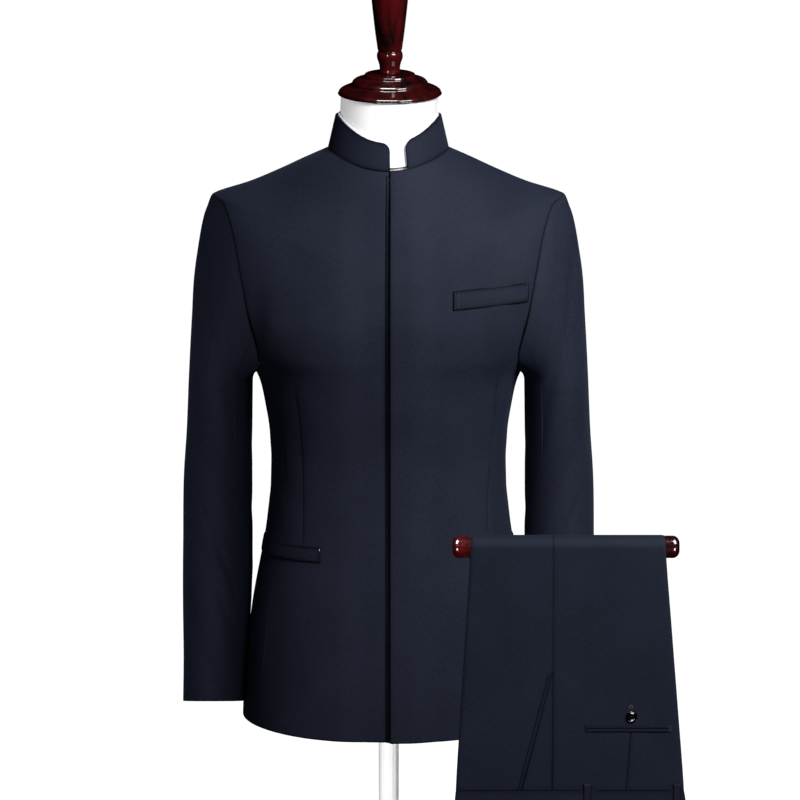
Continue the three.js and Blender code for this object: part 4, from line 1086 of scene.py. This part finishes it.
def form_point(angle, level):
    point = body_point(angle, level)
    lap = (UNDER_DIP + LAP_CLEARANCE) * lap_share(np.abs(point[..., 0]) - 8, level) * (np.sin(angle) < 0)
    gap = lerp(FORM_HEM_GAP, FORM_SHOULDER_GAP, smooth(2, 8.5, level))
    point = point - body_normal(angle, level) * (JACKET_WALL + gap + lap)[..., None]
    front = body_point(armhole_angle(turn_at_level(level, False)), level)[..., 0]
    back = body_point(armhole_angle(turn_at_level(level, True)), level)[..., 0]
    plate = np.minimum(front, back) - FORM_PLATE_GAP
    held_in = (level > ARMHOLE_MIDDLE - ARMHOLE_REACH) & (level < ARMHOLE_TOP)
    point[..., 0] = np.where(held_in, np.clip(point[..., 0], -plate, plate), point[..., 0])
    return point


def filled_mesh(name, rings):
    """A filled body through closed rings, with a flat end at its first and last ring."""
    count = rings.shape[1]
    points = np.concatenate([rings.reshape(-1, 3), rings[0].mean(0)[None], rings[-1].mean(0)[None]]) * MM
    faces = []
    for r in range(len(rings) - 1):
        for c in range(count):
            a, b = r * count + c, r * count + (c + 1) % count
            faces.append((a, b, b + count, a + count))
    low, high = len(points) - 2, len(points) - 1
    last = (len(rings) - 1) * count
    for c in range(count):
        faces.append((low, (c + 1) % count, c))
        faces.append((high, last + c, last + (c + 1) % count))
    mesh = bpy.data.meshes.new(name)
    mesh.from_pydata(points.tolist(), [], faces)
    mesh.shade_smooth()
    form = bmesh.new()
    form.from_mesh(mesh)
    bmesh.ops.recalc_face_normals(form, faces=form.faces)
    form.to_mesh(mesh)
    form.free()
    return mesh


def make_form():
    angles = np.linspace(-np.pi, np.pi, 128, endpoint=False)
    levels = np.arange(0.5, 15.21, 0.1)  # from the hips to just under the neckline
    angle, level = np.meshgrid(angles, levels)
    rings = form_point(angle, level)
    bottom = rings[0].copy()
    bottom[:, 2] = FORM_BOTTOM_Z
    neck = []
    for row in np.linspace(0, len(NECK) - 1, 25):
        ring = section_point(read_table(NECK, np.full(angles.shape, row)), angles)
        ring[:, 0] += NECK_SHIFT_X * smooth(len(NECK) - 2, len(NECK) - 1, row)
        neck.append(ring)
    neck[-1][:, 2] = NECK_TOP_Z + neck[-1][:, 1] * np.tan(NECK_TILT)
    rings[0][:, 2] = FORM_BOTTOM_Z
    rings = np.concatenate([bottom[None], rings[1:], np.array(neck)])
    jersey = white_cotton("form_jersey", (0.84, 0.84, 0.85), (0.79, 0.785, 0.79))
    add_piece("form_cover", filled_mesh("form_cover", rings), jersey, "form_torso")


make_form()

# The neck cap and the finial
# Turned hardwood, stained dark red and lacquered until it shines. The cap covers the neck, and the finial
# stands in the middle of it.
CAP_PROFILE = [
    (0, 0), (58, 0), (62, 1.2), (62.5, 3), (60, 5.5), (54, 8.2), (48.5, 10.3), (46.5, 12), (46, 14.5),
    (43, 17.5), (39, 18.5), (32, 20.5), (31, 23), (27, 25), (0, 25.3),
]
FINIAL_PROFILE = [
    (0, 25.7), (12.4, 25.7), (12.4, 31), (12.9, 35.5), (14.2, 40), (15.6, 44), (15.8, 47.5), (15.2, 50.8),
    (14, 52.6), (14, 53.4), (14.9, 55), (16.5, 66), (18.1, 78), (20.9, 103), (22.4, 118), (23, 131),
    (20, 141), (13, 148), (0, 151),
]
CAP_CLEARANCE = 0.4


def rounded_profile(profile, fine=4):
    """The profile with a smooth curve through its points."""
    table = np.array(profile, float)
    rows = np.linspace(0, len(table) - 1, (len(table) - 1) * fine + 1)
    curve = read_table(table, rows)
    curve[:, 0] = np.maximum(curve[:, 0], 0)
    return [tuple(p) for p in curve]


def red_wood(name, dark, light):
    material, nodes, shader = start_material(name, {
        "Roughness": 0.3, "Coat Weight": 1, "Coat Roughness": 0.05, "Specular IOR Level": 0.08,
    })
    place = add_node(nodes, "ShaderNodeTexCoord")
    stretch = add_node(nodes, "ShaderNodeMapping", {"Scale": (60, 60, 9)})
    grain = add_node(nodes, "ShaderNodeTexNoise", {
        "Scale": 1, "Detail": 5, "Roughness": 0.65, "Distortion": 0.6,
    })
    stain = add_node(nodes, "ShaderNodeTexNoise", {"Scale": 14, "Detail": 2})
    both = mix_noises(nodes, grain, stain, 0.4)
    wire(place, "Object", stretch, "Vector")
    wire(stretch, "Vector", grain, "Vector")
    wire(place, "Object", stain, "Vector")
    wire(add_shades(nodes, both, "Result", dark, light, 0.40, 0.62), "Color", shader, "Base Color")
    return material


wood = red_wood("red_wood", (0.006, 0.0022, 0.0026), (0.085, 0.003, 0.004))
cap_wood = red_wood("cap_wood", (0.004, 0.0018, 0.002), (0.05, 0.0026, 0.0033))
on_neck = (Matrix.Translation((NECK_SHIFT_X * MM, 0, NECK_TOP_Z * MM)) @ Matrix.Rotation(NECK_TILT, 4, "X")
           @ Matrix.Translation((0, 0, CAP_CLEARANCE * MM)))
for name, node, profile, stain in (("cap_turning", "neck_cap", CAP_PROFILE, cap_wood),
                                   ("finial_turning", "finial", FINIAL_PROFILE, wood)):
    add_piece(name, turned_mesh(name, rounded_profile(profile), 72, on_neck), stain, node)

# The stand
# A round wooden base, and a painted steel post that is held by a flange above and below.
BASE_PROFILE = [(0, 0), (187, 0), (190, 3), (190, 10), (185, 16), (174, 20), (0, 20)]

paint = grained_material("white_paint", {
    "Roughness": 0.35, "Coat Weight": 0.3, "Coat Roughness": 0.15,
}, 420, 2, (0.86, 0.86, 0.87), (0.92, 0.92, 0.92), (0.12, 0.0002))


def paint_nodes(names):
    for name in names:
        bpy.data.objects[name].data.materials.clear()
        bpy.data.objects[name].data.materials.append(paint)


base_curve = [BASE_PROFILE[0], *rounded_profile(BASE_PROFILE[1:-1], 6), BASE_PROFILE[-1]]
add_piece("base_turning", turned_mesh("base_turning", base_curve, 128, Matrix()), wood, "base")
paint_nodes(("post", "base_flange", "form_flange"))

# The bar and its arm
# A short polished bar with a thicker knob at each end carries the trousers. A painted steel fork behind it, a
# bent riser and a clamp hold it in front of the post.
BAR = {"from_x": 76.3, "to_x": 346.3, "y": -190, "z": 1034.9, "radius": 9.8}
KNOB = {"radius": 13.4, "left": 22.0, "right": 17.9, "rounding": 8}


def make_bar():
    half = (BAR["to_x"] - BAR["from_x"]) / 2
    end, outer = KNOB["rounding"], KNOB["radius"]
    bend = np.linspace(0, np.pi / 2, 11)

    def knob(length):
        curve = [(outer - end * (1 - np.sin(t)), -half + end * (1 - np.cos(t))) for t in bend]
        foot = [(outer, -half + length), (BAR["radius"], -half + length)]
        return [(0, -half), *curve, *foot]
    profile = knob(KNOB["left"]) + [(r, -h) for r, h in knob(KNOB["right"])[::-1]]
    place = (Matrix.Translation(((BAR["from_x"] + BAR["to_x"]) / 2 * MM, BAR["y"] * MM, BAR["z"] * MM))
             @ Matrix.Rotation(np.pi / 2, 4, "Y"))
    mesh = turned_mesh("bar_turning", profile, 64, place)
    mesh.set_sharp_from_angle(angle=np.radians(40))
    bar_wood = red_wood("bar_wood", (0.02, 0.0016, 0.002), (0.12, 0.002, 0.004))
    add_piece("bar_turning", mesh, bar_wood, "trouser_bar")
    paint_nodes(("bar_fork", "bar_riser", "bar_clamp"))


make_bar()

# The trousers
# Pressed flat along their creases and folded over the bar with the waist hanging in front. One leg lies on
# the other. The front and back panel of the upper leg show, sewn along the side seam, with a slanting pocket.
TROUSER = np.array([  # along the leg from the waist seam, and the x of the two creases
    [-38, 78.3, 359.2],
    [0, 80.8, 354.2],
    [100, 86.5, 345.9],
    [200, 92.3, 337.3],
    [300, 98, 329],
    [370, 99.5, 325],
    [480, 101.5, 319.5],
    [600, 104, 317],
    [800, 109.5, 311.5],
    [990, 116, 305],
])
TROUSER_WALL = 1
WAIST_SEAM_Z = 741
TROUSER_LENGTH = 990
WAISTBAND = 38
SIDE_SEAM = 0.425
HIDDEN_FACE = 0.7
HIDDEN_DEPTH = 2.4
CLOTH_FACE = HIDDEN_FACE + HIDDEN_DEPTH + 0.4
CREASE = 1.7
POCKET_TOP_ALONG = 151
POCKET_MOUTH = 0.283
FRONT_DROP = BAR["z"] - WAIST_SEAM_Z
OVER_BAR = np.pi * BAR["radius"]
FRONT_PANEL_CREASES = [[20, 30, 34, 210, 0.5, 12], [70, 20, 60, 240, -0.5, 10], [50, 150, 46, 280, 0.35, 9]]
BACK_PANEL_CREASES = [
    [30, 90, 34, 270, -0.45, 11],
    [75, 110, 80, 280, 0.5, 12],
    [120, 20, 112, 250, -0.45, 12],
]

trouser_wool = navy_wool("trouser_wool", (0.0150, 0.0185, 0.0330), (0.0075, 0.0095, 0.0175))


def trouser_width(along):
    place = np.interp(along, TROUSER[:, 0], np.arange(len(TROUSER)))
    row = read_table(TROUSER, place)
    return row[..., 1], row[..., 2]


def hang_point(x, along, height):
    """Straight down in front, half round the bar, and straight down behind, this far off the bar's side."""
    x, along, height = np.broadcast_arrays(x, along, height)
    radius = BAR["radius"] + height
    turn = np.clip((along - FRONT_DROP) / BAR["radius"], 0, np.pi)
    z = BAR["z"] + radius * np.sin(turn)
    z = z - np.maximum(FRONT_DROP - along, 0) - np.maximum(along - FRONT_DROP - OVER_BAR, 0)
    return np.stack([x, BAR["y"] - radius * np.cos(turn), z], -1).astype(float)


def hang_normal(along):
    turn = np.clip((along - FRONT_DROP) / BAR["radius"], 0, np.pi)
    return np.stack([np.zeros_like(turn), -np.cos(turn), np.sin(turn)], -1)


def along_rows():
    front = gather_row(0, FRONT_DROP)
    over = FRONT_DROP + OVER_BAR * np.linspace(0, 1, 22)[1:]
    rear = gather_row(FRONT_DROP + OVER_BAR, TROUSER_LENGTH, 8)
    return np.unique(np.round(np.concatenate([front, over, rear]), 4))


def front_start(along):
    return lerp(POCKET_MOUTH, SIDE_SEAM, np.clip(along / POCKET_TOP_ALONG, 0, 1))


def trouser_panel(name, node, start_share, direction, creases, line=None):
    rows = along_rows()
    left, right = trouser_width(rows)
    edge = left if direction < 0 else right
    start = lerp(left, right, start_share(rows)) + direction * SEAM
    turn_x = edge - direction * CREASE
    flat_width = np.abs(turn_x - start)
    total = flat_width + CREASE * np.pi / 2
    stops = [np.zeros(len(rows)), total]
    if line is not None:
        stops.insert(1, np.abs(np.interp(rows, line[:, 0], line[:, 1]) - start))
    across = gather_columns(stops, CLOTH_STEP)
    bend = np.maximum(across - flat_width[:, None], 0) / CREASE
    reach = np.minimum(across, flat_width[:, None])
    x = start[:, None] + direction * (reach + CREASE * np.sin(bend))
    height = CLOTH_FACE + TROUSER_WALL - CREASE + CREASE * np.cos(bend)
    along = np.broadcast_to(rows[:, None], x.shape)
    points = hang_point(x, along, height)
    normals = hang_normal(along) * np.cos(bend)[..., None]
    normals[..., 0] += direction * np.sin(bend)
    relief, lines = 0, 0
    if line is not None:
        beside = np.abs(across - stops[1][:, None])
        shown = 1 - smooth(line[-1, 0] - 2, line[-1, 0], rows)
        lines = shown[:, None] * np.exp(-(beside / 0.8) ** 2)
        relief = -0.45 * lines
    # lines paint shade in the sunk groove of the pocket mouth's stitched edge and of the back dart, and tones
    # paint shade along the edges.
    lay_cloth(name, node, points, normals, TROUSER_WALL, trouser_wool, (0.5, 0.3, 0.4, 0.45), creases,
              relief=relief, lines=0.95 * lines, tones=(0.5, 0.2, 1, 0.5), held="folded",
              rests_on=("trouser_bar",))


BACK_DART = np.array([[0, 284.6], [73, 289.8]])
MOUTH_LINE = np.array([[0, 155], [143, 191.3]])
trouser_panel("trouser_front_cloth", "trouser_front", front_start, -1, FRONT_PANEL_CREASES, MOUTH_LINE)
trouser_panel("trouser_back_cloth", "trouser_back", lambda along: np.full_like(along, SIDE_SEAM), 1,
              BACK_PANEL_CREASES, BACK_DART)


def pocket_lining():
    rows = gather_row(0, POCKET_TOP_ALONG - 6)
    left, right = trouser_width(rows)
    start = lerp(left, right, front_start(rows)) + SEAM
    end = lerp(left, right, SIDE_SEAM) - SEAM
    share = np.linspace(0, 1, 10)
    x = lerp(start[:, None], end[:, None], share)
    along = np.broadcast_to(rows[:, None], x.shape)
    points = hang_point(x, along, CLOTH_FACE + TROUSER_WALL - 0.2)
    lay_cloth("pocket_facing_cloth", "pocket_facing", points, hang_normal(along), TROUSER_WALL - 0.2,
              trouser_wool, (0.3, 0.3, 0.3, 0.3), held="folded", rests_on=("trouser_layers",))


pocket_lining()

# The hidden layers
# The rest of the upper leg and the whole lower leg, pressed together between the panels and the bar. Their
# folded edges show as fine steps at both creases.
LAYER_EDGE = [(1.1, 0), (0.4, 0.3), (0.4, 0.9), (1, 1.1), (1.6, 1.3), (1.6, 2), (2, HIDDEN_DEPTH)]


def hidden_layers():
    rows = np.concatenate([[-WAISTBAND], along_rows()])
    left, right = trouser_width(rows)
    edge = np.array(rounded_profile(LAYER_EDGE, 3))
    rings = []
    for along, low, high in zip(rows, left, right):
        middle = (low + high) / 2
        outline = [*((low + inset, height) for inset, height in edge), (middle, HIDDEN_DEPTH),
                   *((high - inset, height) for inset, height in edge[::-1]), (middle, 0)]
        x, height = np.array(outline).T
        rings.append(hang_point(x, np.full_like(x, along), HIDDEN_FACE + height))
    mesh = filled_mesh("pressed_layers", np.array(rings))
    points = np.array([v.co for v in mesh.vertices]) / MM
    store_cloth_map(mesh, points[:, [0, 2]])
    layers = add_piece("pressed_layers", mesh, trouser_wool, "trouser_layers")


hidden_layers()

# What is sewn on the trousers
# The waistband with its belt loops, the two narrow jets of the back pocket, and the pocket's horn button,
# which goes through a worked buttonhole.
WAISTBAND_WALL = 1.6
LOOPS = (238.4, 345.6)
LOOP = {"width": 9.5, "from_along": -WAISTBAND + 1, "to_along": 9.5, "wall": 1}
POCKET = {"from_x": 235.4, "to_x": 338.2, "along": 76.5, "jet": 3.8, "wall": 1, "gap": 0.6}
POCKET_BUTTON = {"x": 290.4, "along": 91.4, "radius": 6.8, "depth": 2.6}
LAID = 0.1


def flat_strip(name, node, from_x, to_x, from_along, to_along, low, wall, rim, step, line_width=0.9):
    """A strip sewn flat on the trousers, its outer face this high."""
    x = gather_columns([np.atleast_1d(from_x), np.atleast_1d(to_x)], step)
    rows = gather_row(from_along, to_along, step)
    along = np.broadcast_to(rows[:, None], (len(rows), x.shape[-1]))
    x = np.broadcast_to(x, along.shape)
    points = hang_point(x, along, low + wall)
    lay_cloth(name, node, points, hang_normal(along), wall, trouser_wool, (rim,) * 4, line_width=line_width,
              held="folded", rests_on=("trouser_layers",))


def sewn_details():
    face = CLOTH_FACE + TROUSER_WALL
    left, right = trouser_width(gather_row(-WAISTBAND, 0))
    flat_strip("waistband_cloth", "waistband", left, right, -WAISTBAND, 0, CLOTH_FACE, WAISTBAND_WALL, 0.7,
               CLOTH_STEP)
    for i, x in enumerate(LOOPS, 1):
        flat_strip(f"belt_loop_{i}_cloth", f"belt_loop_{i}", x - LOOP["width"] / 2, x + LOOP["width"] / 2,
                   LOOP["from_along"], LOOP["to_along"], CLOTH_FACE + WAISTBAND_WALL + LAID, LOOP["wall"],
                   0.45, 2)
    for name, low in (("upper", POCKET["gap"] / 2), ("lower", -POCKET["gap"] / 2 - POCKET["jet"])):
        start = POCKET["along"] + low
        flat_strip(f"pocket_jet_{name}_cloth", f"pocket_jet_{name}", POCKET["from_x"], POCKET["to_x"],
                   start, start + POCKET["jet"], face + LAID, POCKET["wall"], 0.45, 1.2, 0.5)


sewn_details()
on_cloth = CLOTH_FACE + TROUSER_WALL + LAID
on_band = CLOTH_FACE + WAISTBAND_WALL + LOOP["wall"] + 0.25
ring = np.linspace(0, 2 * np.pi, 13)
hole_x, hole_along = POCKET_BUTTON["x"] - 0.6, POCKET_BUTTON["along"] + 11.2
hole = hang_point(hole_x + 2.2 * np.cos(ring), hole_along + 1.7 * np.sin(ring), on_cloth)
sew("pocket_buttonhole", [hole], pitch=0.55, length=0.9, thickness=0.5, thread=light_thread, seed=2)
# The slit's dark thread is a painted shadow of the cut opening, inside the buttonhole's light stitches.
slit = hang_point(hole_x + np.array([-1.2, 1.2]), [hole_along] * 2, on_cloth)
sew("pocket_slit", [slit], pitch=0.6, length=0.9, thickness=0.6, thread=dark_thread)
sew("jet_tacks", [
    hang_point([x] * 2, POCKET["along"] + np.array([-3.2, 3.2]), on_cloth + POCKET["wall"])
    for x in (POCKET["to_x"] - 0.6, POCKET["to_x"] - 2.2)
], pitch=0.8, length=0.8, thickness=0.4, thread=light_thread, seed=3)
sew("loop_tacks", [
    hang_point(x + np.array([-3.6, 3.6]), [LOOP["to_along"] - inset] * 2, on_band)
    for x in LOOPS for inset in (0.9, 2.0)
], pitch=1.1, length=0.8, thickness=0.35, thread=light_thread, seed=4)
sew("waist_tacks", [
    hang_point(x + np.array([a, b]), [0.3] * 2, on_cloth)
    for x in LOOPS for a, b in ((-9, -5.8), (5.8, 9)) if x + b < 352
], pitch=2.2, length=0.8, thickness=0.35, thread=light_thread, seed=5)
button_foot = hang_point(POCKET_BUTTON["x"], POCKET_BUTTON["along"], on_cloth)
button_place = Matrix.Translation(Vector(button_foot * MM)) @ Matrix.Rotation(np.pi / 2, 4, "X")
button = button_profile(POCKET_BUTTON["radius"], POCKET_BUTTON["depth"])
add_piece("pocket_horn_button", turned_mesh("pocket_horn_button", button, 40, button_place), horn,
          "pocket_button")
sew("button_threads", [
    hang_point(POCKET_BUTTON["x"] + np.array([-1.5, 1.5]), [POCKET_BUTTON["along"] + below] * 2,
               on_cloth + 1.75)
    for below in (-0.5, 0.5)
], pitch=0.6, length=1.2, thickness=0.75, thread=dark_thread, seed=6)

# What each lamp lights
# This is set when all the pieces are there. A lamp that isn't named here lights everything. What hangs on the
# bar throws no shadow in the key lamp, so that the jacket behind it stays evenly lit.
RIGHT_SLEEVE = ["sleeve_right_upper_cloth", "sleeve_right_under_cloth"]
LIT_ALONE = {
    "cap_glint": ["cap_turning"], "finial_glint": ["finial_turning"],
    "left_knob_glint": ["bar_turning"], "right_knob_glint": ["bar_turning"],
    "left_knob_low_glint": ["bar_turning"], "right_knob_low_glint": ["bar_turning"],
    "button_glint": ["pocket_horn_button"], "button_low_glint": ["pocket_horn_button"],
    "neck_lamp": ["form_cover", "white_band"], "post_lamp": ["post"],
    "sleeve_lamp": RIGHT_SLEEVE, "bar_lamp": ["bar_turning"],
}
HANGING = ["trouser_front_cloth", "trouser_back_cloth", "pocket_facing_cloth", "pressed_layers",
           "waistband_cloth", "bar_turning", "bar_fork", "bar_riser", "bar_clamp"]
for name, pieces in LIT_ALONE.items():
    link_lamp(name, pieces)
link_lamp("left_lamp", RIGHT_SLEEVE, state="EXCLUDE")
link_lamp("key_lamp", ["bar_turning", "pocket_horn_button", *RIGHT_SLEEVE], state="EXCLUDE")
link_lamp("key_lamp", HANGING, "blocker_collection", "EXCLUDE")
